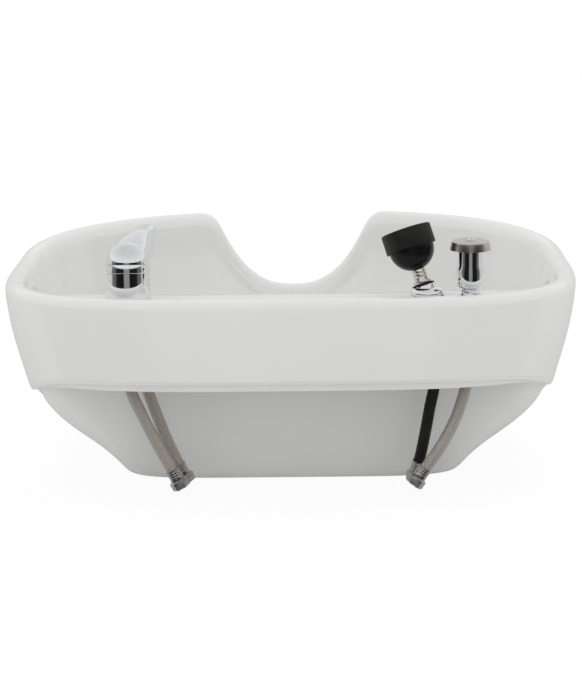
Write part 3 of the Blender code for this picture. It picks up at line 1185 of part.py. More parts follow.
def spray_face(frame, bottom, shoulder):
    """Glossy face with a stepped rim, drilled with rings of nozzles."""
    top = shoulder + SPRAY_FACE_STEP
    face = turned("spray_face", [(0, bottom), (SPRAY_BALL_RADIUS, bottom), (SPRAY_BALL_RADIUS, shoulder),
                                 (SPRAY_FACE_RADIUS, shoulder), (SPRAY_FACE_RADIUS, top), (0, top)],
                  BLACK_GLOSS, frame)
    places = [(0, 0)]
    for ring in range(1, NOZZLE_RINGS + 1):
        count = NOZZLES_PER_RING * ring
        turns = [2 * pi * (k + 1 / 2) / count for k in range(count)]
        places += [(NOZZLE_RING_SPACING * ring * cos(a), NOZZLE_RING_SPACING * ring * sin(a)) for a in turns]
    for k, (x, y) in enumerate(places):
        boolean(face, round_cutter(f"nozzle_{k}", NOZZLE_RADIUS, bottom - CUT_OVERRUN, top + CUT_OVERRUN,
                                   frame @ place(x, y), HEX_SIDES))
    return face


def smooth_route(points, count):
    """Even points on a smooth curve through the route's points, straight at both ends."""
    places = [Vector(point) for point in points]
    line = []
    for k in range(len(places) - 1):
        a = places[max(k - 1, 0)]
        b, c = places[k], places[k + 1]
        d = places[min(k + 2, len(places) - 1)]
        for step in range(count):
            t = step / count
            line.append(((2 * b) + (c - a) * t + (2 * a - 5 * b + 4 * c - d) * t ** 2
                         + (3 * b - a - 3 * c + d) * t ** 3) / 2)
    line.append(places[-1])
    runs = np.cumsum([0.0] + [(b - a).length for a, b in zip(line, line[1:])])
    wanted = np.linspace(0.0, runs[-1], count)
    axes = [np.interp(wanted, runs, [point[axis] for point in line]) for axis in range(3)]
    return [Vector(point) for point in zip(*axes)]


def hose(name, route, finish):
    """Round tube along a smooth curve, closed at both ends; gives back its points as well."""
    points = smooth_route(route, HOSE_POINTS)
    curve = bpy.data.curves.new(name, "CURVE")
    curve.dimensions = "3D"
    spline = curve.splines.new("POLY")
    spline.points.add(len(points) - 1)
    for item, point in zip(spline.points, points):
        item.co = (*point, 1.0)
    curve.bevel_depth = HOSE_RADIUS
    curve.bevel_resolution = HOSE_BEVEL_RESOLUTION
    curve.use_fill_caps = True
    return new_object(name, curve, finish), points


def hose_end(name, points, lift=None):
    """Crimped ferrule with a flanged tail on the lower end of a hose, and its captive swivel nut."""
    along = points[-1] - points[-2]
    end = frame_along(points[-1], along)
    cup, tail = HOSE_RADIUS + GAP, FERRULE_HEAD + END_TAIL_LENGTH
    flange = tail - END_FLANGE_THICKNESS
    fitting = turned(name + "_ferrule", [
        (STEM_BORE_RADIUS, GAP), (cup, GAP), (cup, -FERRULE_CUP_DEPTH), (FERRULE_RADIUS, -FERRULE_CUP_DEPTH),
        (FERRULE_RADIUS, FERRULE_HEAD), (STEM_RADIUS, FERRULE_HEAD), (STEM_RADIUS, flange),
        (END_FLANGE_RADIUS, flange), (END_FLANGE_RADIUS, tail), (STEM_BORE_RADIUS, tail)], STEEL, end,
        SMALL_SIDES)
    spin = empty(name + "_nut_axis", end)
    low = FERRULE_HEAD + GAP
    high = low + SWIVEL_NUT_LENGTH
    nut = turned(name + "_swivel_nut", rod_profile(SWIVEL_NUT_RADIUS, low, high), STEEL, end, HEX_SIDES)
    boolean(nut, round_cutter(name + "_nut_bore", SWIVEL_NUT_BORE, low + SWIVEL_NUT_LIP,
                              high + CUT_OVERRUN, end,
                              SMALL_SIDES))
    boolean(nut, round_cutter(name + "_nut_lip", STEM_RADIUS + GAP, low - CUT_OVERRUN, high, end,
                              SMALL_SIDES))
    parent_to(nut, spin)
    if lift:
        parent_to(fitting, lift)
        parent_to(spin, lift)


def hose_top(name, point, stem_top):
    """Crimped ferrule on the upper end of a hose, its plain stem reaching up into a port."""
    x, y, z = point
    cup = HOSE_RADIUS + GAP
    turned(name + "_stem", [
        (STEM_BORE_RADIUS, z + GAP), (cup, z + GAP), (cup, z - FERRULE_CUP_DEPTH),
        (FERRULE_RADIUS, z - FERRULE_CUP_DEPTH), (FERRULE_RADIUS, z + FERRULE_HEAD),
        (STEM_RADIUS, z + FERRULE_HEAD), (STEM_RADIUS, stem_top), (STEM_BORE_RADIUS, stem_top)], STEEL,
        place(x, y), SMALL_SIDES)


def moved_route(route, x, y):
    return [(x + across, y + along, z) for across, along, z in route]


def hoses(frame, lift):
    """Hot and cold hoses under the mixer, one under the breaker, and the spray head's own hose."""
    port_top = mixer_seat() + MIXER_PORT_DEPTH - GAP
    tee_port_top = TEE_TOP - TEE_HEIGHT + MIXER_PORT_DEPTH
    for name, offsets, x, y, stem_top in [
            ("hot_hose", HOT_HOSE_ROUTE, MIXER_X, MIXER_Y, port_top),
            ("cold_hose", COLD_HOSE_ROUTE, MIXER_X, MIXER_Y, port_top),
            ("breaker_hose", BREAKER_HOSE_ROUTE, BREAKER_X, FITTINGS_Y, tee_port_top)]:
        route = moved_route(offsets, x, y)
        points = hose(name, route, BRAID)[1]
        hose_top(name, route[0], stem_top)
        hose_end(name, points)
    start = -ADAPTER_TAIL_DEPTH + ADAPTER_CUP_DEPTH - GAP
    straight = [frame @ Vector((0, 0, start)), frame @ Vector((0, 0, start - 2 * HOSE_RADIUS))]
    route = [tuple(point) for point in straight] + moved_route(SPRAY_HOSE_ROUTE, HOLDER_X, FITTINGS_Y)
    tube, points = hose("spray_hose", route, BLACK_MATT)
    parent_to(tube, lift)
    hose_end("spray_hose", points, lift)


def build():
    clear_scene()
    ceramic_bowl()
    drain_parts()
    mixer_parts()
    mixer_clamp()
    fittings_plates()
    frame = holder_frame()
    spray_holder(frame)
    vacuum_breaker()
    hoses(frame, spray_head(frame))


build()
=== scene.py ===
# Looks of the shampoo bowl: camera, stage, light, finishes and the fine visible pieces.
# Lengths are metres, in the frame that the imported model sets.
import json
from collections import namedtuple
from math import atan, cos, hypot, pi, radians, sin, sqrt

import bmesh
import bpy
import numpy as np
from mathutils import Matrix, Vector


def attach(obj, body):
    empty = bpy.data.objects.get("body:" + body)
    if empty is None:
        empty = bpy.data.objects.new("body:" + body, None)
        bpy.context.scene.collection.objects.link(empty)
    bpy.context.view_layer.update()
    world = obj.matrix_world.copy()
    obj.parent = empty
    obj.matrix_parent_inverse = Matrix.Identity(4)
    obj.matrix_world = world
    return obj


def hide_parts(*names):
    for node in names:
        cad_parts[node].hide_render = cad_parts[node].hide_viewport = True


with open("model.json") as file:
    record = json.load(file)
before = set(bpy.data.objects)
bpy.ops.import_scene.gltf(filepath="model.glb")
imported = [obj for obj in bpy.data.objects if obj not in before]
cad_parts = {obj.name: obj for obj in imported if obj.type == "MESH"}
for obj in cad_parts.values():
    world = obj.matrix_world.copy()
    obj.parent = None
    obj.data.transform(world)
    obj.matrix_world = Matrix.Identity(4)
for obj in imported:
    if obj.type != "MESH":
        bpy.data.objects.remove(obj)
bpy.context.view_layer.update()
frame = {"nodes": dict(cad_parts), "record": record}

GAP = 0.0003
CUT_OVERRUN = 0.004
FINE_SIDES = 96
SMALL_FINE_SIDES = 48
HEX_SIDES = 6
SHARP_ANGLE = radians(32)
EDGE_ROUND = 0.00035

# Bowl
BOWL_WIDTH = 0.609
BOWL_DEPTH = 0.490
RIM_HEIGHT = 0.214
NECK_RISE = 0.018
RIM_THICKNESS = 0.022
WIDEST_OFFSET = 0.040
NEAR_SQUARENESS = 4.25
FAR_SQUARENESS = 2.5
WALL = 0.0155
FOOT_HALF_WIDTH = 0.181
FOOT_SETBACK = 0.114
FOOT_NEAR = BOWL_DEPTH / 2 - FOOT_SETBACK
FOOT_FAR = BOWL_DEPTH / 2 - FOOT_SETBACK
FOOT_SQUARENESS = 6.0
FOOT_RING = 0.022
FOOT_EDGE = 0.003
KINK_OUT = 0.011
KINK_HEIGHT = 0.012
POCKET_DEPTH = 0.038
POCKET_DRAFT = 0.008
APRON_LIP_HEIGHT = 0.126
APRON_LIP_END = 0.100
APRON_THICKNESS = 0.014
APRON_CROWN = 0.0015
REAR_WALL_DRAFT = 0.004
DECK_LEVEL = 0.200
DECK_THICKNESS = 0.0122
DECK_FILLET = 0.003
DECK_REACH = 0.1265
BASIN_REAR = BOWL_DEPTH / 2 - DECK_REACH
FLOOR_LEVEL = 0.051
NOTCH_HALF_WIDTH = 0.100
NOTCH_DEPTH = 0.090
NOTCH_POWER = 2.6
NOTCH_FOOT = 0.060
NOTCH_SHOULDER = 0.006
RIM_RISE_POWER = 1.5
TURN_STEP = radians(0.2)
FINE_TURNS = 2000

# Drain
DRAIN_HOLE_RADIUS = 0.024
DRAIN_SEAT_RADIUS = 0.035
DRAIN_SEAT_DROP = 0.004
DRAIN_FLANGE_RADIUS = 0.0325
DRAIN_FLANGE_THICKNESS = 0.003
DRAIN_BODY_RADIUS = 0.022
DRAIN_BORE_RADIUS = 0.019
DRAIN_END_HEIGHT = 0.010
DRAIN_LIP_RADIUS = 0.016
DRAIN_LIP_THICKNESS = 0.002
DRAIN_SEAL_THICKNESS = 0.0012
DRAIN_GASKET_RADIUS = 0.031
STRAINER_RADIUS = 0.0185
STRAINER_HEIGHT = 0.014
STRAINER_WALL = 0.0012
STRAINER_KNOB_RADIUS = 0.004
STRAINER_KNOB_HEIGHT = 0.007

# Mixer
MIXER_INSET = 0.1405
MIXER_SETBACK = 0.0730
MIXER_X = MIXER_INSET - BOWL_WIDTH / 2
MIXER_Y = MIXER_SETBACK - BOWL_DEPTH / 2
MIXER_RADIUS = 0.023
MIXER_SEAL_THICKNESS = 0.0015
MIXER_SLANT_HEIGHT = 0.2287
MIXER_LEAN = radians(11)
CARTRIDGE_RADIUS = 0.0176
CARTRIDGE_DEPTH = 0.018
BONNET_HEIGHT = 0.0092
PIVOT_HEIGHT = 0.0097
BONNET_BALL_RADIUS = 0.0196
BONNET_BALL_INSIDE = 0.0182
BONNET_BALL_TOP = 0.008
HANDLE_INSIDE_RADIUS = 0.0203
HANDLE_BOSS_RADIUS = 0.007
HANDLE_BOSS_BOTTOM = 0.0125
HANDLE_GRUB_HEIGHT = 0.0150
HANDLE_BOSS_SINK = 0.0009
HANDLE_GRUB_RADIUS = 0.0015
LEVER_SWIVEL_REST = radians(-14)
LEVER_CLOSE_ANGLE = radians(20)
LEVER_LENGTH = 0.0667
LEVER_TIP_TOP = 0.0444
LEVER_ARCH_POWER = 0.52
LEVER_SHANK_WIDTH = 0.005
LEVER_PIN_TOP = 0.0175
MIXER_HOLE_RADIUS = 0.017
HOSE_PORT_OFFSET = 0.0085
HOSE_PORT_NEAR = 0.0060
OUTLET_PORT_FAR = 0.0015
PORT_RADIUS = 0.0045
MIXER_PORT_DEPTH = 0.005
STUD_OFFSET = 0.0115
STUD_RADIUS = 0.003

# Deck plate shared by the spray holder and the vacuum breaker
BREAKER_INSET = 0.1210
HOLDER_INSET = 0.1645
FITTINGS_SETBACK = 0.0715
BREAKER_X = BOWL_WIDTH / 2 - BREAKER_INSET
HOLDER_X = BOWL_WIDTH / 2 - HOLDER_INSET
FITTINGS_Y = FITTINGS_SETBACK - BOWL_DEPTH / 2
SLOT_RADIUS = 0.0160
SLOT_SHORT = 0.0055
PLATE_HALF_WIDTH = 0.0187
PLATE_THICKNESS = 0.0035
PLATE_EDGE = 0.001
PLATE_SEAL_THICKNESS = 0.001
HOLDER_SHANK_RADIUS = 0.0150
HOLDER_SHANK_BORE = 0.0127
HOLDER_SHANK_END = 0.1760
HOLDER_BORE_TOP = 0.1985
HOLDER_DOME_RADIUS = 0.0175
HOLDER_DOME_HEIGHT = 0.0080
HOLDER_DOME_TOP_RADIUS = 0.0105
HOLDER_TOP_LEFT = 0.0035
HOLDER_TOP_AWAY = 0.0020
HOLDER_TOP_HEIGHT = 0.2136
HOLDER_LEAN_LEFT = radians(18)
HOLDER_LEAN_AWAY = radians(15)
HOLDER_SLEEVE_RADIUS = 0.0120
HOLDER_SLEEVE_BORE = 0.0100
HOLDER_SLEEVE_DEPTH = 0.0120
HOLDER_SLEEVE_BORE_DEPTH = 0.0230
HOLDER_BUSH_BORE = 0.0085
HOLDER_BUSH_LENGTH = 0.0085
HOLDER_BUSH_LIP_RADIUS = 0.0114
HOLDER_BUSH_LIP = 0.0018

# Vacuum breaker
BREAKER_SHANK_RADIUS = 0.0090
BREAKER_SHANK_END = 0.1720
BREAKER_BORE_RADIUS = 0.0060
BREAKER_FOOT_RADIUS = 0.0102
BREAKER_FOOT_TOP = 0.2095
BREAKER_BULGE_RADIUS = 0.0140
BREAKER_BULGE_BOTTOM = 0.2145
BREAKER_NECK_RADIUS = 0.0124
BREAKER_NECK_TOP = 0.2515
BREAKER_CHAMBER_RADIUS = 0.0098
BREAKER_CHAMBER_BOTTOM = 0.2240
BRIDGE_THICKNESS = 0.002
CAP_RADIUS = 0.0209
CAP_BOTTOM = 0.2508
CAP_TOP = 0.2600
CAP_SKIRT = 0.0022
CAP_TAPER = 0.0016
CAP_CROWN = 0.0022
CAP_BOSS_RADIUS = 0.0045
CAP_SCREW_RADIUS = 0.0016
CAP_SCREW_HEAD_RADIUS = 0.0034
CAP_SCREW_HEAD_HEIGHT = 0.0016

# Spray head, measured along its own axis from the top of the holder
ADAPTER_TAIL_RADIUS = 0.0080
ADAPTER_TAIL_DEPTH = 0.0110
ADAPTER_CUP_DEPTH = 0.0075
ADAPTER_COLLAR_RADIUS = 0.0092
ADAPTER_COLLAR_HEIGHT = 0.0030
ADAPTER_NECK_RADIUS = 0.0072
ADAPTER_TOP = 0.0170
ADAPTER_SPIGOT_RADIUS = 0.0047
ADAPTER_SPIGOT_TOP = 0.0225
ADAPTER_BORE = 0.0030
SPRAY_BALL_RADIUS = 0.0232
SPRAY_BALL_CENTRE = 0.0402
SPRAY_BALL_TOP = 0.0535
SPRAY_WALL = 0.0022
SPRAY_COLLAR_BOTTOM = 0.0400
SPRAY_COLLAR_TOP = 0.0600
SPRAY_COLLAR_RADIUS = 0.0258
SPRAY_COLLAR_EDGE = 0.0015
SPRAY_COLLAR_LIP = 0.0020
SPRAY_COLLAR_LIP_RADIUS = 0.0210
SPRAY_SEAL_THICKNESS = 0.0015
SPRAY_FACE_RADIUS = 0.0205
SPRAY_FACE_STEP = 0.0012
NOZZLE_RADIUS = 0.0011
NOZZLE_RING_SPACING = 0.0075
NOZZLE_RINGS = 2
NOZZLES_PER_RING = 6

# Hoses and their ends
HOSE_RADIUS = 0.0060
FERRULE_RADIUS = 0.0072
FERRULE_CUP_DEPTH = 0.0080
FERRULE_HEAD = 0.0032
STEM_RADIUS = 0.0042
STEM_BORE_RADIUS = 0.0020
END_TAIL_LENGTH = 0.0085
END_FLANGE_RADIUS = 0.0066
END_FLANGE_THICKNESS = 0.0015
SWIVEL_NUT_RADIUS = 0.0100
SWIVEL_NUT_LENGTH = 0.0100
SWIVEL_NUT_BORE = 0.0074
SWIVEL_NUT_LIP = 0.0025

# Routes of the hoses, from the upper end to the lower one: places across and along the deck
# are measured from the mixer, the breaker or the holder, and heights from the foot.
HOT_HOSE_ROUTE = [(-0.0085, -0.0060, 0.1790), (-0.0085, -0.0060, 0.1680), (-0.0082, -0.0080, 0.1520),
                  (-0.0060, -0.0110, 0.1340), (0.0020, -0.0150, 0.1080), (0.0140, -0.0185, 0.0820),
                  (0.0270, -0.0210, 0.0560), (0.0365, -0.0220, 0.0380), (0.0455, -0.0225, 0.0215)]
COLD_HOSE_ROUTE = [(0.0085, -0.0060, 0.1790), (0.0085, -0.0060, 0.1680), (0.0087, -0.0045, 0.1520),
                   (0.0110, -0.0020, 0.1340), (0.0170, -0.0005, 0.1080), (0.0255, 0.0000, 0.0820),
                   (0.0350, 0.0000, 0.0560), (0.0427, -0.0002, 0.0380), (0.0500, -0.0005, 0.0215)]
BREAKER_HOSE_ROUTE = [(0.0000, 0.0000, 0.1480), (0.0000, 0.0000, 0.1370), (-0.0015, -0.0020, 0.1230),
                      (-0.0045, -0.0050, 0.1080), (-0.0135, -0.0105, 0.0810), (-0.0265, -0.0160, 0.0560),
                      (-0.0385, -0.0190, 0.0380), (-0.0510, -0.0210, 0.0215)]
SPRAY_HOSE_ROUTE = [(0.0036, -0.0038, 0.1780), (0.0067, -0.0058, 0.1620), (0.0083, -0.0073, 0.1440),
                    (0.0080, -0.0093, 0.1260), (0.0062, -0.0095, 0.1080), (0.0027, -0.0077, 0.0900),
                    (-0.0005, -0.0045, 0.0700), (-0.0035, -0.0013, 0.0520), (-0.0065, 0.0017, 0.0355),
                    (-0.0095, 0.0035, 0.0215)]

# Camera, solved from the photograph
CAMERA_PLACE = Vector((0.02683, -2.19608, 0.59591))
CAMERA_TARGET = Vector((0.0, 0.0, 0.107))
CAMERA_ROLL = radians(-0.75)
CAMERA_LENS = 104.2
CAMERA_SHIFT = (-1.2 / 700, 2.9 / 700)


def add_object(name, data):
    made = bpy.data.objects.new(name, data)
    bpy.context.scene.collection.objects.link(made)
    return made


def add_camera():
    camera = add_object("camera", bpy.data.cameras.new("camera"))
    camera.data.lens = CAMERA_LENS
    camera.data.shift_x, camera.data.shift_y = CAMERA_SHIFT
    forward = (CAMERA_TARGET - CAMERA_PLACE).normalized()
    right = forward.cross(Vector((0, 0, 1))).normalized()
    up = right.cross(forward)
    turned_right = right * cos(CAMERA_ROLL) + up * sin(CAMERA_ROLL)
    turned_up = up * cos(CAMERA_ROLL) - right * sin(CAMERA_ROLL)
    made = Matrix((turned_right, turned_up, -forward)).transposed().to_4x4()
    made.translation = CAMERA_PLACE
    camera.matrix_world = made
    bpy.context.scene.camera = camera


# Meshes
def new_piece(name, mesh, finish, matrix=None):
    piece = add_object(name, mesh)
    mesh.materials.append(finish)
    if matrix is not None:
        piece.matrix_world = matrix
    return piece


def finish_mesh(bm, name, smooth=True):
    bmesh.ops.recalc_face_normals(bm, faces=bm.faces)
    mesh = bpy.data.meshes.new(name)
    bm.to_mesh(mesh)
    bm.free()
    if smooth:
        mesh.shade_smooth()
        mesh.set_sharp_from_angle(angle=SHARP_ANGLE)
    return mesh


def turned_mesh(name, profile, sides=FINE_SIDES):
    """Closed solid turned about Z from a closed loop of (radius, height) points."""
    bm = bmesh.new()
    rings = []
    for radius, height in profile:
        if radius == 0:
            rings.append([bm.verts.new((0, 0, height))])
            continue
        turn = [2 * pi * k / sides for k in range(sides)]
        rings.append([bm.verts.new((radius * cos(a), radius * sin(a), height)) for a in turn])
    closed = profile[0][0] > 0 or profile[-1][0] > 0
    pairs = list(zip(rings, rings[1:])) + ([(rings[-1], rings[0])] if closed else [])
    for low, high in pairs:
        join_rings(bm, low, high)
    return finish_mesh(bm, name)


def bake(piece, tools=()):
    """Apply the piece's modifiers to its mesh and drop the tools they used."""
    graph = bpy.context.evaluated_depsgraph_get()
    old = piece.data
    piece.data = bpy.data.meshes.new_from_object(piece.evaluated_get(graph), depsgraph=graph)
    piece.modifiers.clear()
    bpy.data.meshes.remove(old)
    for tool in tools:
        mesh = tool.data
        bpy.data.objects.remove(tool)
        bpy.data.meshes.remove(mesh)
    piece.data.set_sharp_from_angle(angle=SHARP_ANGLE)


def tool_object(mesh, matrix):
    tool = add_object("tool", mesh)
    tool.matrix_world = matrix
    return tool


def carve(piece, tools, joined=()):
    """Cut the tools out of the piece in turn, but join those whose places are given."""
    for k, tool in enumerate(tools):
        step = piece.modifiers.new("step", "BOOLEAN")
        step.operation = "UNION" if k in joined else "DIFFERENCE"
        step.solver = "EXACT"
        step.object = tool
    bake(piece, tools)


def round_tool(radius, bottom, top, matrix, sides=SMALL_FINE_SIDES):
    return tool_object(turned_mesh("tool", rod_profile(radius, bottom, top), sides), matrix)


def box_tool(size, centre, matrix):
    bm = bmesh.new()
    bmesh.ops.create_cube(bm, size=1.0)
    bmesh.ops.transform(bm, matrix=Matrix.Translation(centre) @ Matrix.Diagonal((*size, 1.0)), verts=bm.verts)
    return tool_object(finish_mesh(bm, "tool", smooth=False), matrix)


def soften(piece, width=EDGE_ROUND, segments=2):
    """Round the piece's sharp edges so that they catch the light."""
    step = piece.modifiers.new("edges", "BEVEL")
    step.width = width
    step.segments = segments
    step.limit_method = "ANGLE"
    step.angle_limit = SHARP_ANGLE
    step.harden_normals = False
    bake(piece)


def turned_piece(name, profile, finish, matrix, sides=FINE_SIDES):
    return new_piece(name, turned_mesh(name, profile, sides), FINISHES[finish], matrix)


def lathe(name, profile, finish, matrix, body, nodes, sides=FINE_SIDES, edge=EDGE_ROUND):
    """Turned piece with rounded edges and the given finish, settled on its body in place of the given nodes.
    """
    piece = turned_piece(name, profile, finish, matrix, sides)
    soften(piece, edge)
    return settle(piece, body, nodes)


def settle(piece, body, nodes):
    """Put the piece on its body in place of the nodes that it stands for."""
    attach(piece, body)
    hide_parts(*nodes)
    return piece


def join_rings(bm, low, high):
    count = max(len(low), len(high))
    for k in range(count):
        corners = [low[k % len(low)], low[(k + 1) % len(low)], high[(k + 1) % len(high)], high[k % len(high)]]
        face = list(dict.fromkeys(corners))
        if len(face) > 2:
            bm.faces.new(face)


def rod_profile(radius, bottom, top):
    return [(0, bottom), (radius, bottom), (radius, top), (0, top)]


def arc(centre_r, centre_z, radius, start, end, steps):
    """Points of an arc in the (radius, height) plane, angles measured from the radial axis."""
    turn = [start + (end - start) * k / steps for k in range(steps + 1)]
    return [(centre_r + radius * cos(a), centre_z + radius * sin(a)) for a in turn]


def place(x, y, z=0.0):
    return Matrix.Translation((x, y, z))


def frame_along(origin, axis, side=Vector((1, 0, 0))):
    """Matrix at origin whose Z runs along axis and whose X lies as near side as it can."""
    z = Vector(axis).normalized()
    y = z.cross(side).normalized()
    x = y.cross(z)
    made = Matrix((x, y, z)).transposed().to_4x4()
    made.translation = origin
    return made


def mixer_frame():
    """Frame on the mixer's slanted top, its Z along the leaning axis of the cartridge."""
    axis = Vector((0, sin(MIXER_LEAN), cos(MIXER_LEAN)))
    return frame_along((MIXER_X, MIXER_Y, MIXER_SLANT_HEIGHT), axis)


def lever_frame():
    """Frame at the lever's pivot, its Y towards the lever's tip as photographed."""
    return mixer_frame() @ place(0, 0, PIVOT_HEIGHT) @ Matrix.Rotation(LEVER_SWIVEL_REST, 4, "Z")


def mixer_seat():
    return DECK_LEVEL + GAP + MIXER_SEAL_THICKNESS + GAP


def mixer_ports():
    """Hot, cold and mixed outlet ports in the underside of the mixer."""
    return [(-HOSE_PORT_OFFSET, -HOSE_PORT_NEAR), (HOSE_PORT_OFFSET, -HOSE_PORT_NEAR), (0, OUTLET_PORT_FAR)]


def plate_top():
    return DECK_LEVEL + GAP + PLATE_SEAL_THICKNESS + GAP + PLATE_THICKNESS


def holder_frame():
    """Frame at the top of the leaning holder, its Z up along the spray head's axis."""
    away = sin(HOLDER_LEAN_AWAY) * cos(HOLDER_LEAN_LEFT)
    axis = Vector((-sin(HOLDER_LEAN_LEFT) * cos(HOLDER_LEAN_AWAY), away,
                   cos(HOLDER_LEAN_LEFT) * cos(HOLDER_LEAN_AWAY)))
    top = (HOLDER_X - HOLDER_TOP_LEFT, FITTINGS_Y + HOLDER_TOP_AWAY, HOLDER_TOP_HEIGHT)
    return frame_along(top, axis)


def grub_frame(pivot):
    return pivot @ place(0, 0, HANDLE_GRUB_HEIGHT) @ Matrix.Rotation(-pi / 2, 4, "Y")


def open_centre(outline):
    """Turned outline that meets the axis: put its two axis points first and last."""
    first = next(k for k, (a, b) in enumerate(zip(outline, outline[1:])) if a[0] == 0 and b[0] == 0)
    return outline[first + 1:] + outline[:first + 1]


def moved_route(route, x, y):
    return [(x + across, y + along, z) for across, along, z in route]


LEVER_SHARES = [(-0.10, 0.86, 0.45, 0.02), (0.10, 0.87, 0.605, 0.02), (0.30, 0.79, 0.745, 0.04),
                (0.50, 0.68, 0.84, 0.20), (0.68, 0.57, 0.885, 0.45), (0.84, 0.47, 0.93, 0.68),
                (0.95, 0.40, 0.965, 0.81), (1.0, 0.30, 0.985, 0.87)]

# Bowl: every section is a closed ring around the bowl, given by its half width at the sides,
# its reach on the near and far sides, and its height at those three places.
SIDE_CURVE_SHARES = [(0.0, 0.0), (0.201, 0.072), (0.395, 0.138), (0.535, 0.193), (0.655, 0.26),
                     (0.725, 0.32), (0.762, 0.398), (0.788, 0.486), (0.825, 0.569), (0.878, 0.68),
                     (0.935, 0.807), (0.970, 0.912), (1.0, 1.0)]
REAR_WALL_SHARES = [(0.0, 0.0), (0.14, 0.16), (0.30, 0.37), (0.46, 0.60), (0.60, 0.82), (0.67, 0.93)]
RECESS_SHARES = [(0.71, 0.05, 0.985), (0.75, 0.17, 1.0), (0.80, 0.77, 1.0), (0.84, 0.92, 0.975),
                 (0.875, 0.985, 0.89), (0.91, 1.0, 0.72), (0.94, 1.0, 0.60)]
APRON_SHARES = [(0.05, 0.07), (0.13, 0.17), (0.32, 0.40), (0.58, 0.62), (0.80, 0.83)]
BASIN_SHARES = [(1.0, 1.02, 1.0, 0.94), (0.995, 0.98, 0.995, 0.905), (0.99, 0.12, 0.99, 0.865),
                (0.985, 0.04, 0.985, 0.81), (0.977, 0.012, 0.975, 0.75), (0.966, 0.0, 0.955, 0.66),
                (0.952, -0.01, 0.93, 0.54), (0.93, -0.03, 0.90, 0.41), (0.895, -0.09, 0.855, 0.275),
                (0.838, -0.19, 0.785, 0.17), (0.745, -0.33, 0.68, 0.085), (0.54, -0.52, 0.43, 0.03),
                (0.32, -0.68, 0.26, 0.008)]
BASIN_DROP_SHARES = [-0.006, 0.0, 0.0, 0.012, 0.05, 0.14, 0.33, 0.56, 0.74, 0.87, 0.945, 0.98, 0.993]
RIM_ARC_STEPS = 6
LIP_ARC_STEPS = 4
NEAR_HOLD_SHARES = (0.35, 0.85)
LIP_HOLD_SHARES = (0.58, 1.0)
GROWN_SHARE = 0.5
ROUND_POWER = 2
BASIN_ROUNDING_SHARES = (0.6, 0.4)
NOTCH_FADE_SHARES = (8, 2)
NOTCH_ROUNDING_SHARE = 0.7
GASKET_ROOF_SHARE = 1.2

Section = namedtuple("Section", "side near far z_side z_near z_far centre near_e far_e wrap")


def side_curve(height):
    """Half width of the hull's side at a height, between the kink over the foot and the rim."""
    out_shares = [share[0] for share in SIDE_CURVE_SHARES]
    up_shares = [share[1] for share in SIDE_CURVE_SHARES]
    top = RIM_HEIGHT - RIM_THICKNESS
    share = (height - KINK_HEIGHT) / (top - KINK_HEIGHT)
    kink = FOOT_HALF_WIDTH + KINK_OUT
    return float(kink + (BOWL_WIDTH / 2 - kink) * np.interp(share, up_shares, out_shares))


def hull_section(height, near, near_height, wrap=NEAR_HOLD_SHARES):
    side = side_curve(height)
    kink = FOOT_HALF_WIDTH + KINK_OUT
    share = (side - kink) / (BOWL_WIDTH / 2 - kink)
    far_kink = FOOT_FAR + KINK_OUT
    far = far_kink + share * (BOWL_DEPTH / 2 - far_kink)
    grown = FOOT_SQUARENESS + (NEAR_SQUARENESS - FOOT_SQUARENESS) * min(1.0, share / GROWN_SHARE)
    return Section(side, near, far, height, near_height, height, WIDEST_OFFSET * share, grown,
                   FAR_SQUARENESS, wrap)


def foot_section(side, near, far, z):
    return Section(side, near, far, z, z, z, 0.0, FOOT_SQUARENESS, FAR_SQUARENESS, NEAR_HOLD_SHARES)


def foot_sections():
    inner = FOOT_RING
    flat = [(FOOT_HALF_WIDTH - inner, FOOT_NEAR - inner, FOOT_FAR - inner, 0.0),
            (FOOT_HALF_WIDTH, FOOT_NEAR, FOOT_FAR, 0.0),
            (FOOT_HALF_WIDTH + FOOT_EDGE, FOOT_NEAR + FOOT_EDGE / 2, FOOT_FAR + FOOT_EDGE, FOOT_EDGE)]
    return [foot_section(*row) for row in flat]


def rear_sections():
    """The rear wall of the basin, up from the foot to the underside of the deck."""
    under = DECK_LEVEL - DECK_THICKNESS
    made = []
    for side_share, up_share in REAR_WALL_SHARES:
        side_z = KINK_HEIGHT + side_share * (APRON_LIP_END - KINK_HEIGHT)
        near_z = KINK_HEIGHT + up_share * (under - KINK_HEIGHT)
        near = BASIN_REAR + WALL - REAR_WALL_DRAFT * up_share * up_share
        made.append(hull_section(side_z, near, near_z))
    return made


def recess_sections():
    """Under the deck, and down the inside of the apron."""
    under = DECK_LEVEL - DECK_THICKNESS
    start = BASIN_REAR + WALL - REAR_WALL_DRAFT
    end = BOWL_DEPTH / 2 - APRON_CROWN - APRON_THICKNESS
    made = []
    for side_share, out_share, up_share in RECESS_SHARES:
        side_z = KINK_HEIGHT + side_share * (APRON_LIP_END - KINK_HEIGHT)
        made.append(hull_section(side_z, start + out_share * (end - start), under * up_share))
    return made


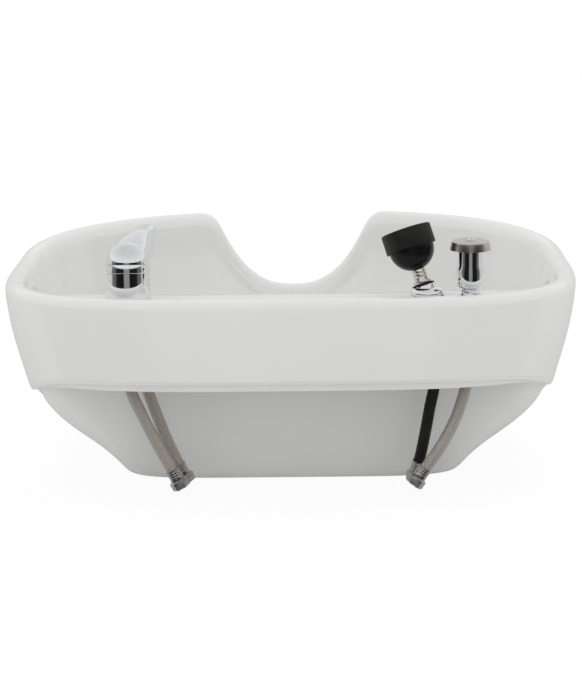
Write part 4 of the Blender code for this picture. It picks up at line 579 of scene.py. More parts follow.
def lip_sections():
    """The rounded lower lip of the apron, and the apron's outer face."""
    outer = BOWL_DEPTH / 2 - APRON_CROWN
    radius = APRON_THICKNESS / 2
    centre_z = APRON_LIP_HEIGHT + radius
    made = []
    steps = LIP_ARC_STEPS
    for k in range(1, steps + 1):
        turn = pi + pi * k / steps
        near = outer - radius + radius * cos(turn)
        side_z = APRON_LIP_END + (k - steps / 2) * radius / steps
        made.append(hull_section(side_z, near, centre_z + radius * sin(turn), LIP_HOLD_SHARES))
    top = RIM_HEIGHT - RIM_THICKNESS
    for side_share, up_share in APRON_SHARES:
        side_z = APRON_LIP_END + side_share * (top - APRON_LIP_END)
        near_z = APRON_LIP_HEIGHT + up_share * (top - APRON_LIP_HEIGHT)
        near = outer + APRON_CROWN * sin(pi * up_share)
        made.append(hull_section(max(side_z, made[-1].z_side + radius / 2), near, near_z, LIP_HOLD_SHARES))
    return made


def rim_sections():
    radius = RIM_THICKNESS / 2
    made = []
    for k in range(RIM_ARC_STEPS + 1):
        turn = pi * k / RIM_ARC_STEPS
        inset = radius - radius * cos(turn)
        z = RIM_HEIGHT - radius + radius * sin(turn)
        near = BOWL_DEPTH / 2 - APRON_CROWN - inset
        made.append(Section(BOWL_WIDTH / 2 - inset, near, BOWL_DEPTH / 2 - inset,
                            z, z, z, WIDEST_OFFSET, NEAR_SQUARENESS, FAR_SQUARENESS, LIP_HOLD_SHARES))
    return made


def basin_sections():
    """Inside of the bowl: the deck on the near side, the basin's walls and its floor."""
    side_start = BOWL_WIDTH / 2 - RIM_THICKNESS
    near_start = BOWL_DEPTH / 2 - APRON_CROWN - RIM_THICKNESS - DECK_FILLET
    made = []
    for k, (side_share, near_share, far_share, up_share) in enumerate(BASIN_SHARES):
        if near_share >= 0:
            near = BASIN_REAR + near_share * (near_start - BASIN_REAR)
        else:
            near = BASIN_REAR * (1 + near_share)
        drop = BASIN_DROP_SHARES[k]
        near_z = DECK_LEVEL - drop * (DECK_LEVEL - FLOOR_LEVEL)
        z = FLOOR_LEVEL + up_share * (RIM_HEIGHT - FLOOR_LEVEL)
        start, run = BASIN_ROUNDING_SHARES
        fade = min(1.0, 1 - max(0.0, drop - start) / run)
        made.append(Section(side_start * side_share, near, (BOWL_DEPTH / 2 - RIM_THICKNESS) * far_share,
                            z, near_z, z, WIDEST_OFFSET * fade,
                            ROUND_POWER + (NEAR_SQUARENESS - ROUND_POWER) * fade,
                            ROUND_POWER + (FAR_SQUARENESS - ROUND_POWER) * fade, NEAR_HOLD_SHARES))
    return made


def circle_section(radius, height):
    return Section(radius, radius, radius, height, height, height, 0.0, ROUND_POWER, ROUND_POWER,
                   NEAR_HOLD_SHARES)


def drain_sections():
    """The drain's seat and hole, then the roof and the walls of the pocket inside the foot."""
    seat = FLOOR_LEVEL - DRAIN_SEAT_DROP
    inner = FOOT_RING + POCKET_DRAFT
    made = [circle_section(DRAIN_SEAT_RADIUS + DRAIN_SEAT_DROP, FLOOR_LEVEL),
            circle_section(DRAIN_SEAT_RADIUS, seat), circle_section(DRAIN_HOLE_RADIUS, seat),
            circle_section(DRAIN_HOLE_RADIUS, POCKET_DEPTH),
            circle_section(DRAIN_GASKET_RADIUS * GASKET_ROOF_SHARE, POCKET_DEPTH)]
    for inset, z in [(inner + POCKET_DRAFT, POCKET_DEPTH), (inner, POCKET_DEPTH - POCKET_DRAFT)]:
        made.append(foot_section(FOOT_HALF_WIDTH - inset, FOOT_NEAR - inset, FOOT_FAR - inset, z))
    return made


def bowl_sections():
    return (foot_sections() + rear_sections() + recess_sections() + lip_sections() + rim_sections()
            + basin_sections() + drain_sections())


def ring_reach(turn, side, near, far, centre, near_e, far_e):
    """Point of a ring at an angle: a superellipse about (0, centre) with unlike near and far halves."""
    across = abs(cos(turn)) / side
    if sin(turn) >= 0:
        depth, power = far - centre, far_e
    else:
        depth, power = near + centre, near_e
    reach = (across ** power + (abs(sin(turn)) / depth) ** power) ** (-1 / power)
    return reach * cos(turn), centre + reach * sin(turn)


def smooth_step(value, low, high):
    share = min(1.0, max(0.0, (value - low) / (high - low)))
    return share * share * (3 - 2 * share)


def rim_top(turn):
    """Height of the rim's crest over its near height, without the neck notch, and the notch's depth."""
    x, y = ring_reach(turn, BOWL_WIDTH / 2, BOWL_DEPTH / 2, BOWL_DEPTH / 2, WIDEST_OFFSET,
                      NEAR_SQUARENESS, FAR_SQUARENESS)
    rise = NECK_RISE * max(0.0, y / (BOWL_DEPTH / 2)) ** RIM_RISE_POWER
    notch = 0.0
    if sin(turn) > 0:
        raw = NOTCH_DEPTH * (1 - (abs(x) / NOTCH_HALF_WIDTH) ** NOTCH_POWER)
        soft = (raw + sqrt(raw * raw + NOTCH_SHOULDER ** 2)) / 2
        start, end = (-share * NOTCH_SHOULDER for share in NOTCH_FADE_SHARES)
        notch = soft * smooth_step(raw, start, end)
    return x, y, rise, notch


def section_point(section, turn, rim):
    x, y = ring_reach(turn, section.side, section.near, section.far, section.centre, section.near_e,
                      section.far_e)
    rim_x, rim_y, rise, notch, stretch = rim
    near_share = (WIDEST_OFFSET - rim_y) / (WIDEST_OFFSET + BOWL_DEPTH / 2)
    hold = smooth_step(near_share, *section.wrap)
    z = section.z_side + (section.z_near - section.z_side) * hold
    if rim_y > WIDEST_OFFSET:
        z += (section.z_far - section.z_side) * ((rim_y - WIDEST_OFFSET) / (BOWL_DEPTH / 2 - WIDEST_OFFSET))
    z += rise * max(0.0, (z - FLOOR_LEVEL) / (RIM_HEIGHT - FLOOR_LEVEL)) ** 2
    top = RIM_HEIGHT + rise
    if notch > 0 and z > NOTCH_FOOT:
        below = top - z
        rounding = RIM_THICKNESS / 2
        tall = min(rounding * stretch, (top - notch - NOTCH_FOOT) * NOTCH_ROUNDING_SHARE)
        if below <= rounding:
            z = top - notch - tall * below / rounding
        else:
            share = (below - rounding) / (top - rounding - NOTCH_FOOT)
            z = top - notch - tall - share * (top - notch - tall - NOTCH_FOOT)
    return x, y, z


def rim_data(turn):
    x, y, rise, notch = rim_top(turn)
    before, after = rim_top(turn - TURN_STEP), rim_top(turn + TURN_STEP)
    run = hypot(after[0] - before[0], after[1] - before[1])
    slope = (after[3] - before[3]) / run
    return x, y, rise, notch, sqrt(1 + slope * slope)


def column_turns(columns):
    """Angles that share out the rim's crest evenly, its notch included, mirrored left to right."""
    fine = [(-pi / 2) + pi * k / FINE_TURNS for k in range(FINE_TURNS + 1)]
    points = [(x, y, rise - notch) for x, y, rise, notch in map(rim_top, fine)]
    steps = [Vector(b) - Vector(a) for a, b in zip(points, points[1:])]
    length = np.concatenate([[0.0], np.cumsum([step.length for step in steps])])
    wanted = np.linspace(0, length[-1], columns // 2 + 1)
    right = np.interp(wanted, length, fine)
    left = [pi - turn for turn in right[1:-1]][::-1]
    return list(right) + left


def bowl_mesh(name, sections, columns):
    turns = column_turns(columns)
    rims = [rim_data(turn) for turn in turns]
    bm = bmesh.new()
    rings = [[bm.verts.new(section_point(section, turn, rim)) for turn, rim in zip(turns, rims)]
             for section in sections]
    for low, high in zip(rings, rings[1:] + rings[:1]):
        join_rings(bm, low, high)
    return finish_mesh(bm, name)


# Finishes: each one returns a material whose nodes vary its colour, gloss and relief
def start_material(name, colour, roughness, metallic=0.0):
    made = bpy.data.materials.new(name)
    made.use_nodes = True
    tree = made.node_tree
    shader = tree.nodes["Principled BSDF"]
    shader.inputs["Base Color"].default_value = (*colour, 1.0)
    shader.inputs["Roughness"].default_value = roughness
    shader.inputs["Metallic"].default_value = metallic
    return made, tree, shader


def add_node(tree, kind, values=None, **settings):
    node = tree.nodes.new(kind)
    for key, value in settings.items():
        setattr(node, key, value)
    for key, value in (values or {}).items():
        node.inputs[key].default_value = value
    return node


def noise(tree, scale, detail=3.0, stretch=None):
    coords = add_node(tree, "ShaderNodeTexCoord")
    source = coords.outputs["Object"]
    if stretch:
        mapping = add_node(tree, "ShaderNodeMapping", {"Scale": stretch})
        tree.links.new(source, mapping.inputs["Vector"])
        source = mapping.outputs["Vector"]
    node = add_node(tree, "ShaderNodeTexNoise", {"Scale": scale, "Detail": detail})
    tree.links.new(source, node.inputs["Vector"])
    return node.outputs["Fac"]


def span(tree, source, low, high, from_low=0.3, from_high=0.7):
    node = add_node(tree, "ShaderNodeMapRange", {"From Min": from_low, "From Max": from_high, "To Min": low,
                                                 "To Max": high})
    tree.links.new(source, node.inputs["Value"])
    return node.outputs["Result"]


def blend_colours(tree, source, first, second, socket):
    node = add_node(tree, "ShaderNodeMix", data_type="RGBA")
    for item, colour in zip([item for item in node.inputs if item.type == "RGBA"], (first, second)):
        item.default_value = (*colour, 1.0)
    tree.links.new(source, node.inputs["Factor"])
    tree.links.new(next(item for item in node.outputs if item.type == "RGBA"), socket)


def relief(tree, shader, source, strength, distance):
    bump = add_node(tree, "ShaderNodeBump", {"Strength": strength, "Distance": distance})
    tree.links.new(source, bump.inputs["Height"])
    tree.links.new(bump.outputs["Normal"], shader.inputs["Normal"])


def maths(tree, operation, first, second=None):
    node = add_node(tree, "ShaderNodeMath", operation=operation)
    for socket, value in zip(node.inputs, (first, second)):
        if value is None:
            continue
        if isinstance(value, (int, float)):
            socket.default_value = value
        else:
            tree.links.new(value, socket)
    return node.outputs[0]


GLAZE_TINTS = ((0.865, 0.865, 0.85), (0.835, 0.838, 0.825))
GLAZE_ROUGHNESS = (0.06, 0.13)
GLAZE_COAT = {"Coat Weight": 0.4, "Coat Roughness": 0.04}
POLISHED_DULL = 0.93
SATIN_DARK = 0.72
SATIN_ROUGHNESS = (0.22, 0.40)
MOULDED_PALE = (1.6, 0.004)


def dress(tree, shader, tint, colours, wear, roughness, grain, strength, distance):
    """Vary the colour, the roughness and the relief, each along its own pattern."""
    blend_colours(tree, span(tree, tint, 0.0, 1.0), *colours, shader.inputs["Base Color"])
    tree.links.new(span(tree, wear, *roughness), shader.inputs["Roughness"])
    relief(tree, shader, grain, strength, distance)


def glaze():
    made, tree, shader = start_material("glaze", (0.85, 0.85, 0.835), 0.1)
    dress(tree, shader, noise(tree, 6.0, 4.0), GLAZE_TINTS, noise(tree, 40.0), GLAZE_ROUGHNESS,
          noise(tree, 55.0, 2.0), 0.05, 0.0004)
    for key, value in GLAZE_COAT.items():
        shader.inputs[key].default_value = value
    return made


def polished(name, colour, low, high):
    made, tree, shader = start_material(name, colour, low, 1.0)
    dull = tuple(POLISHED_DULL * value for value in colour)
    dress(tree, shader, noise(tree, 90.0), (colour, dull), noise(tree, 160.0, 5.0), (low, high),
          noise(tree, 700.0, 2.0), 0.02, 0.0001)
    return made


def satin(name, colour, stretch=(1.0, 1.0, 60.0)):
    made, tree, shader = start_material(name, colour, 0.3, 1.0)
    dark = tuple(SATIN_DARK * value for value in colour)
    lines = noise(tree, 120.0, 6.0, stretch)
    dress(tree, shader, lines, (colour, dark), lines, SATIN_ROUGHNESS, lines, 0.12, 0.0001)
    return made


def moulded(name, colour, low, high, grain, strength, gloss=0.5):
    made, tree, shader = start_material(name, colour, low)
    shader.inputs["Specular IOR Level"].default_value = gloss
    slope, least = MOULDED_PALE
    pale = tuple(min(1.0, value * slope + least) for value in colour)
    dress(tree, shader, noise(tree, 60.0, 5.0), (colour, pale), noise(tree, 140.0, 4.0), (low, high),
          noise(tree, grain), strength, 0.0002)
    return made


BRAID_STRANDS = 12
BRAID_PITCH = 0.0032
WIRES_PER_STRAND = 2
CROWN_SHARE = 0.55
WIRE_SHARE = 0.45
# Painted shade for the braid's grooves, then the steel's own colour on the crowns of the wires
BRAID_GROOVE_SHADE_AND_STEEL = ((0.05, 0.042, 0.035), (0.74, 0.68, 0.62))


def braid():
    """Flat strands of wire that cross over and under round the hose, laid out on its UV map, with painted
    shade: the colour darkens down the sides of each wire into the grooves between wires and strands.
    """
    made, tree, shader = start_material("braid", (0.52, 0.48, 0.44), 0.35, 0.4)
    uv = add_node(tree, "ShaderNodeUVMap", uv_map="UVMap")
    split = add_node(tree, "ShaderNodeSeparateXYZ")
    tree.links.new(uv.outputs["UV"], split.inputs["Vector"])

    around = maths(tree, "MULTIPLY", split.outputs["X"], BRAID_STRANDS)
    along = maths(tree, "DIVIDE", split.outputs["Y"], BRAID_PITCH)
    left, right = maths(tree, "ADD", around, along), maths(tree, "SUBTRACT", around, along)
    cells = maths(tree, "ADD", maths(tree, "FLOOR", left), maths(tree, "FLOOR", right))
    parity = maths(tree, "FLOORED_MODULO", cells, 2.0)

    def strand(side):
        across = maths(tree, "FRACT", side)
        crown = maths(tree, "SINE", maths(tree, "MULTIPLY", across, pi))
        wave = maths(tree, "SINE", maths(tree, "MULTIPLY", across, pi * WIRES_PER_STRAND))
        wires = maths(tree, "ABSOLUTE", wave)
        return maths(tree, "ADD", maths(tree, "MULTIPLY", crown, CROWN_SHARE),
                     maths(tree, "MULTIPLY", wires, WIRE_SHARE))

    height = add_node(tree, "ShaderNodeMix", data_type="FLOAT")
    tree.links.new(parity, height.inputs["Factor"])
    tree.links.new(strand(left), height.inputs["A"])
    tree.links.new(strand(right), height.inputs["B"])
    top = height.outputs["Result"]
    # Painted shade: the colour goes dark where the relief is low, down in the grooves
    blend_colours(tree, span(tree, top, 0.0, 1.0, 0.15, 0.85), *BRAID_GROOVE_SHADE_AND_STEEL, shader.inputs["Base Color"])
    tree.links.new(span(tree, top, 0.55, 0.26, 0.1, 0.9), shader.inputs["Roughness"])
    relief(tree, shader, top, 0.9, 0.0004)
    return made


FINISHES = {
    "ceramic": glaze(),
    "chrome": polished("chrome", (0.86, 0.87, 0.88), 0.03, 0.07),
    "neck": polished("neck", (0.70, 0.66, 0.60), 0.16, 0.26),
    "nickel": satin("nickel", (0.72, 0.68, 0.62)),
    "brass": polished("brass", (0.72, 0.54, 0.28), 0.16, 0.30),
    "steel": satin("steel", (0.62, 0.61, 0.60), (1.0, 1.0, 20.0)),
    "braid": braid(),
    "rubber": moulded("rubber", (0.022, 0.022, 0.022), 0.6, 0.8, 400.0, 0.15),
    "black_gloss": moulded("black_gloss", (0.004, 0.004, 0.004), 0.12, 0.18, 90.0, 0.02, 0.14),
    "black_matt": moulded("black_matt", (0.010, 0.0095, 0.009), 0.46, 0.60, 900.0, 0.2, 0.25),
    "pale_plastic": moulded("pale_plastic", (0.70, 0.70, 0.68), 0.35, 0.5, 300.0, 0.1),
    "blue_plastic": moulded("blue_plastic", (0.08, 0.20, 0.48), 0.3, 0.45, 300.0, 0.1),
}


def dress_cad_nodes():
    for entry in frame["record"]["subparts"]:
        node = frame["nodes"][entry["node"]]
        node.data.materials.clear()
        node.data.materials.append(FINISHES[entry["material_slot"]])


# Stage and light
FLOOR_HALF = 9.0
FLOOR_DROP = 0.0002
FLOOR_ALBEDO = 0.92
FLOOR_SHOWN = 0.93
FLOOR_SHADE = 0.085
FLOOR_CLOUD_SCALE = 2.0
FLOOR_CLOUD = (0.99, 1.0)
HALF_TURN = 180.0
FRONT_DARK_RAMP = [(0.0, 0.42), (12.0, 0.38), (17.0, 0.012), (52.0, 0.02), (60.0, 0.16), (78.0, 0.24),
                   (86.0, 0.95)]
DARK_TOP = (15.0, 21.0)
SKY_GLOSS = (0.865, 0.670)
SKY_GLOSS_SPAN = (0.35, 0.90)
GROUND_GLOSS = (0.48, 0.68)
GROUND_GLOSS_SPAN = (-0.6, 0.0)
DIFFUSE_SKY = (0.88, 0.77)
DIFFUSE_SKY_SPAN = (-0.1, 0.9)
SHOWN_SKY = 1.03
TOP_LIGHT = 8.0
TOP_LIGHT_SIZE = (2.4, 1.8)
TOP_LIGHT_PLACE = Vector((0.0, 0.35, 2.0))
TOP_LIGHT_TARGET = Vector((0.0, 0.0, 0.1))


def choose(tree, switch, when_off, when_on):
    mix = add_node(tree, "ShaderNodeMix", data_type="FLOAT")
    tree.links.new(switch, mix.inputs["Factor"])
    for key, item in (("A", when_off), ("B", when_on)):
        if isinstance(item, (int, float)):
            mix.inputs[key].default_value = item
        else:
            tree.links.new(item, mix.inputs[key])
    return mix.outputs["Result"]


def add_floor():
    """Pale floor: nearly flat white to the camera with a soft shadow, and clear to reflections."""
    bm = bmesh.new()
    bmesh.ops.create_grid(bm, x_segments=1, y_segments=1, size=FLOOR_HALF)
    made, tree, shader = start_material("floor", (FLOOR_ALBEDO,) * 3, 1.0)
    path = add_node(tree, "ShaderNodeLightPath")
    cloudy = span(tree, noise(tree, FLOOR_CLOUD_SCALE), *FLOOR_CLOUD)
    seen = choose(tree, path.outputs["Is Camera Ray"], FLOOR_ALBEDO, FLOOR_SHADE)
    tint = add_node(tree, "ShaderNodeCombineColor")
    for key in ("Red", "Green", "Blue"):
        tree.links.new(maths(tree, "MULTIPLY", seen, cloudy), tint.inputs[key])
    tree.links.new(tint.outputs["Color"], shader.inputs["Base Color"])
    shader.inputs["Specular IOR Level"].default_value = 0.0
    shader.inputs["Emission Color"].default_value = (1.0, 1.0, 1.0, 1.0)
    tree.links.new(choose(tree, path.outputs["Is Camera Ray"], 0.0, FLOOR_SHOWN),
                   shader.inputs["Emission Strength"])
    clear = add_node(tree, "ShaderNodeBsdfTransparent")
    both = add_node(tree, "ShaderNodeMixShader")
    tree.links.new(path.outputs["Is Glossy Ray"], both.inputs["Fac"])
    tree.links.new(shader.outputs["BSDF"], both.inputs[1])
    tree.links.new(clear.outputs["BSDF"], both.inputs[2])
    tree.links.new(both.outputs["Shader"], tree.nodes["Material Output"].inputs["Surface"])
    floor = new_piece("floor", finish_mesh(bm, "floor", smooth=False), made, place(0, 0, -FLOOR_DROP))


def add_top_light():
    lamp = bpy.data.lights.new("top_light", "AREA")
    lamp.shape = "RECTANGLE"
    lamp.size, lamp.size_y = TOP_LIGHT_SIZE
    lamp.energy = TOP_LIGHT
    holder = add_object("top_light", lamp)
    holder.location = TOP_LIGHT_PLACE
    holder.rotation_euler = (TOP_LIGHT_TARGET - TOP_LIGHT_PLACE).to_track_quat("-Z", "Y").to_euler()
    holder.visible_glossy = False


def dark_front(tree, split):
    """Level that a reflection sees of the dim room in front, by its turn away from straight ahead."""
    turn = maths(tree, "ABSOLUTE", maths(tree, "ARCTAN2", split.outputs["X"],
                                         maths(tree, "MULTIPLY", split.outputs["Y"], -1.0)))
    degrees = maths(tree, "MULTIPLY", turn, HALF_TURN / pi)
    ramp = add_node(tree, "ShaderNodeFloatCurve")
    curve = ramp.mapping.curves[0]
    points = FRONT_DARK_RAMP + [(HALF_TURN, 1.0)]
    for place_at, level in points[1:-1]:
        curve.points.new(place_at / HALF_TURN, level)
    curve.points[0].location = (0.0, points[0][1])
    curve.points[len(curve.points) - 1].location = (1.0, 1.0)
    for point in curve.points:
        point.handle_type = "VECTOR"
    ramp.mapping.update()
    tree.links.new(maths(tree, "DIVIDE", degrees, HALF_TURN), ramp.inputs["Value"])
    return ramp.outputs["Value"]


def add_world():
    world = bpy.data.worlds.new("studio")
    bpy.context.scene.world = world
    world.use_nodes = True
    tree = world.node_tree
    tree.nodes.clear()
    coords = add_node(tree, "ShaderNodeTexCoord")
    split = add_node(tree, "ShaderNodeSeparateXYZ")
    tree.links.new(coords.outputs["Generated"], split.inputs["Vector"])
    up = split.outputs["Z"]
    low, high = (sin(radians(angle)) for angle in DARK_TOP)
    above = span(tree, up, 0.0, 1.0, low, high)
    sky = span(tree, up, *SKY_GLOSS, *SKY_GLOSS_SPAN)
    ground = maths(tree, "MULTIPLY", dark_front(tree, split),
                   span(tree, up, *GROUND_GLOSS, *GROUND_GLOSS_SPAN))
    glossy = choose(tree, above, ground, sky)
    diffuse = span(tree, up, *DIFFUSE_SKY, *DIFFUSE_SKY_SPAN)
    path = add_node(tree, "ShaderNodeLightPath")
    level = choose(tree, path.outputs["Is Glossy Ray"], diffuse, glossy)
    level = choose(tree, path.outputs["Is Camera Ray"], level, SHOWN_SKY)
    level = choose(tree, path.outputs["Is Transmission Ray"], level, 1.0)
    background = add_node(tree, "ShaderNodeBackground", {"Color": (1.0, 1.0, 1.0, 1.0)})
    tree.links.new(level, background.inputs["Strength"])
    out = add_node(tree, "ShaderNodeOutputWorld")
    tree.links.new(background.outputs["Background"], out.inputs["Surface"])


def add_stage():
    add_floor()
    add_world()
    add_top_light()
    bpy.context.scene.view_settings.view_transform = "Standard"


# Hoses
TUBE_SIDES = 32
TUBE_RINGS = 150


def curve_point(a, b, c, d, t):
    """Point between b and c on the smooth curve through all four."""
    return ((2 * b) + (c - a) * t + (2 * a - 5 * b + 4 * c - d) * t ** 2
            + (3 * b - a - 3 * c + d) * t ** 3) / 2


def smooth_route(points, count):
    """Even points on a smooth curve through the route's points, straight at both ends."""
    places = [Vector(point) for point in points]
    line = []
    for k in range(len(places) - 1):
        a = places[max(k - 1, 0)]
        b, c = places[k], places[k + 1]
        d = places[min(k + 2, len(places) - 1)]
        line += [curve_point(a, b, c, d, step / count) for step in range(count)]
    line.append(places[-1])
    runs = np.cumsum([0.0] + [(b - a).length for a, b in zip(line, line[1:])])
    wanted = np.linspace(0.0, runs[-1], count)
    axes = [np.interp(wanted, runs, [point[axis] for point in line]) for axis in range(3)]
    return [Vector(point) for point in zip(*axes)]


def tube_mesh(name, points, radius):
    """Tube along the points with a UV map: once round is one unit, and along is in metres."""
    bm = bmesh.new()
    uv = bm.loops.layers.uv.new("UVMap")
    side = Vector((1, 0, 0))
    rings, runs = [], [0.0]
    for k, point in enumerate(points):
        along = (points[min(k + 1, len(points) - 1)] - points[max(k - 1, 0)]).normalized()
        side = (side - along * side.dot(along)).normalized()
        other = along.cross(side)
        turn = [2 * pi * j / TUBE_SIDES for j in range(TUBE_SIDES)]
        rings.append([bm.verts.new(point + radius * (side * cos(a) + other * sin(a))) for a in turn])
        if k:
            runs.append(runs[-1] + (point - points[k - 1]).length)
    for k, (near, far) in enumerate(zip(rings, rings[1:])):
        for j in range(TUBE_SIDES):
            following = (j + 1) % TUBE_SIDES
            face = bm.faces.new([near[j], near[following], far[following], far[j]])
            places = [(j, k), (j + 1, k), (j + 1, k + 1), (j, k + 1)]
            for loop, (around, ring) in zip(face.loops, places):
                loop[uv].uv = (around / TUBE_SIDES, runs[ring])
    bm.faces.new(rings[0])
    bm.faces.new(rings[-1])
    return finish_mesh(bm, name), runs[-1]


def hose(name, route, finish, body):
    points = smooth_route(route, TUBE_RINGS)
    mesh, length = tube_mesh(name + "_tube", points, HOSE_RADIUS - GAP / 3)
    tube = new_piece(name + "_tube", mesh, FINISHES[finish])
    settle(tube, body, [name])
    return tube, points, length


def hex_mesh(radius, low, high, chamfer):
    inner = radius * cos(pi / HEX_SIDES)
    return turned_mesh("hex", [(0, low), (inner - chamfer / 2, low), (radius, low + chamfer),
                               (radius, high - chamfer), (inner - chamfer / 2, high), (0, high)], HEX_SIDES)


CRIMPS = 3
CRIMP_DEPTH = 0.0004
NUT_CHAMFER = 0.0012


def hose_end(name, points, body, nut_body):
    """Crimped ferrule with its flanged tail, and the captive swivel nut."""
    end = frame_along(points[-1], points[-1] - points[-2])
    cup, tail = HOSE_RADIUS + GAP, FERRULE_HEAD + END_TAIL_LENGTH
    flange = tail - END_FLANGE_THICKNESS
    crimps = []
    for k in reversed(range(CRIMPS)):
        middle = -FERRULE_CUP_DEPTH * (k + 1 / 2) / CRIMPS
        wide = FERRULE_CUP_DEPTH / (3 * CRIMPS)
        crimps += [(FERRULE_RADIUS, middle - wide), (FERRULE_RADIUS - CRIMP_DEPTH, middle - wide / 2),
                   (FERRULE_RADIUS - CRIMP_DEPTH, middle + wide / 2), (FERRULE_RADIUS, middle + wide)]
    ferrule = lathe(name + "_crimp", [
        (STEM_BORE_RADIUS, GAP), (cup, GAP), (cup, -FERRULE_CUP_DEPTH), (FERRULE_RADIUS, -FERRULE_CUP_DEPTH),
        *crimps, (FERRULE_RADIUS, FERRULE_HEAD), (STEM_RADIUS, FERRULE_HEAD), (STEM_RADIUS, flange),
        (END_FLANGE_RADIUS, flange), (END_FLANGE_RADIUS, tail), (STEM_BORE_RADIUS, tail)],
        "steel", end, body, [name + "_ferrule"], sides=SMALL_FINE_SIDES, edge=EDGE_ROUND / 3)
    low = FERRULE_HEAD + GAP
    high = low + SWIVEL_NUT_LENGTH
    nut = new_piece(name + "_nut", hex_mesh(SWIVEL_NUT_RADIUS, low, high, NUT_CHAMFER), FINISHES["steel"],
                    end)
    bore = round_tool(SWIVEL_NUT_BORE, low + SWIVEL_NUT_LIP, high + CUT_OVERRUN, end)
    lip = round_tool(STEM_RADIUS + GAP, low - CUT_OVERRUN, high, end)
    carve(nut, [bore, lip])
    soften(nut, EDGE_ROUND / 2)
    settle(nut, nut_body, [name + "_swivel_nut"])
    return ferrule, nut


def add_hoses():
    holder = holder_frame()
    start = -ADAPTER_TAIL_DEPTH + ADAPTER_CUP_DEPTH - GAP
    straight = [tuple(holder @ Vector((0, 0, low))) for low in (start, start - 2 * HOSE_RADIUS)]
    spray = straight + moved_route(SPRAY_HOSE_ROUTE, HOLDER_X, FITTINGS_Y)
    rows = [("hot_hose", moved_route(HOT_HOSE_ROUTE, MIXER_X, MIXER_Y), "braid", "bowl", "hot_nut"),
            ("cold_hose", moved_route(COLD_HOSE_ROUTE, MIXER_X, MIXER_Y), "braid", "bowl", "cold_nut"),
            ("breaker_hose", moved_route(BREAKER_HOSE_ROUTE, BREAKER_X, FITTINGS_Y), "braid", "bowl",
             "breaker_nut"),
            ("spray_hose", spray, "black_matt", "spray", "spray_hose_nut")]
    for name, route, finish, body, nut_body in rows:
        tube, points, length = hose(name, route, finish, body)
        pieces = hose_end(name, points, body, nut_body)


# Mixer
DOME_RINGS = 20
BLADE_RINGS = 28
BLADE_POINTS = 40
BONNET_LINE = 0.0004
SLANT_EDGE = 0.00025


def smooth_shares(shares, count):
    """Rows between the given ones on a smooth curve, for a finer version of the same form."""
    rows = [Vector(row) for row in shares]
    made = []
    for k in range(count + 1):
        place_at = k * (len(rows) - 1) / count
        first = min(int(place_at), len(rows) - 2)
        near = [rows[min(max(first + step, 0), len(rows) - 1)] for step in (-1, 0, 1, 2)]
        made.append(curve_point(*near, place_at - first))
    return made


def blade_tool(pivot):
    """Horn shaped lever: arched sections that narrow and rise from the dome to the tip."""
    bm = bmesh.new()
    rings = []
    for run_share, width_share, top_share, low_share in smooth_shares(LEVER_SHARES, BLADE_RINGS):
        half = MIXER_RADIUS * width_share
        high, low = LEVER_TIP_TOP * top_share, LEVER_TIP_TOP * low_share
        turn = [pi * k / (BLADE_POINTS - 1) for k in range(BLADE_POINTS)]
        arch = [max(0.0, sin(a)) ** LEVER_ARCH_POWER for a in turn]
        rings.append([bm.verts.new((half * cos(a), LEVER_LENGTH * run_share, low + (high - low) * up))
                      for a, up in zip(turn, arch)])
    for near, far in zip(rings, rings[1:]):
        join_rings(bm, near, far)
    bm.faces.new(rings[0])
    bm.faces.new(rings[-1])
    return tool_object(finish_mesh(bm, "tool"), pivot)


def dome_profile(radius, floor):
    steps = DOME_RINGS
    made = [(0, floor), (radius, floor)] + ([(radius, 0)] if floor else [])
    made += arc(0, 0, radius, pi / 2 / steps, pi / 2, steps - 1)
    made[-1] = (0, radius)
    return made


def add_handle():
    pivot = lever_frame()
    outer = MIXER_RADIUS
    handle = turned_piece("handle_shell", dome_profile(outer, 0), "chrome", pivot)
    hollow = tool_object(turned_mesh("tool", dome_profile(HANDLE_INSIDE_RADIUS, -outer)), pivot)
    boss = round_tool(HANDLE_BOSS_RADIUS, HANDLE_BOSS_BOTTOM, HANDLE_INSIDE_RADIUS + HANDLE_BOSS_SINK, pivot)
    width = LEVER_SHANK_WIDTH + 2 * GAP
    tall = LEVER_PIN_TOP + GAP
    socket = box_tool((width, width, tall), (0, 0, tall / 2), pivot)
    wedge = box_tool((4 * outer, 4 * outer, outer), (0, 2 * outer, -GAP - outer / 2),
                     pivot @ Matrix.Rotation(LEVER_CLOSE_ANGLE, 4, "X"))
    grub = round_tool(HANDLE_GRUB_RADIUS + GAP, 0, LEVER_LENGTH, grub_frame(pivot))
    carve(handle, [blade_tool(pivot), hollow, boss, socket, wedge, grub], joined=(0, 2))
    soften(handle, SLANT_EDGE)
    settle(handle, "lever", ["lever_handle"])


def add_mixer_body():
    top, bottom = mixer_frame(), mixer_seat()
    high = MIXER_SLANT_HEIGHT + MIXER_RADIUS
    shell = turned_piece("mixer_shell", rod_profile(MIXER_RADIUS, bottom, high), "chrome",
                         place(MIXER_X, MIXER_Y))
    reach = 3 * MIXER_RADIUS
    under = place(MIXER_X, MIXER_Y, bottom)
    tools = [box_tool((reach, reach, reach), (0, 0, reach / 2), top),
             round_tool(CARTRIDGE_RADIUS + GAP, -CARTRIDGE_DEPTH, CUT_OVERRUN, top),
             round_tool(STUD_RADIUS + GAP, -CUT_OVERRUN, MIXER_PORT_DEPTH, under @ place(0, STUD_OFFSET))]
    tools += [round_tool(PORT_RADIUS, -CUT_OVERRUN, MIXER_PORT_DEPTH, under @ place(x, y))
              for x, y in mixer_ports()]
    carve(shell, tools)
    soften(shell, SLANT_EDGE)
    settle(shell, "bowl", ["mixer_body"])


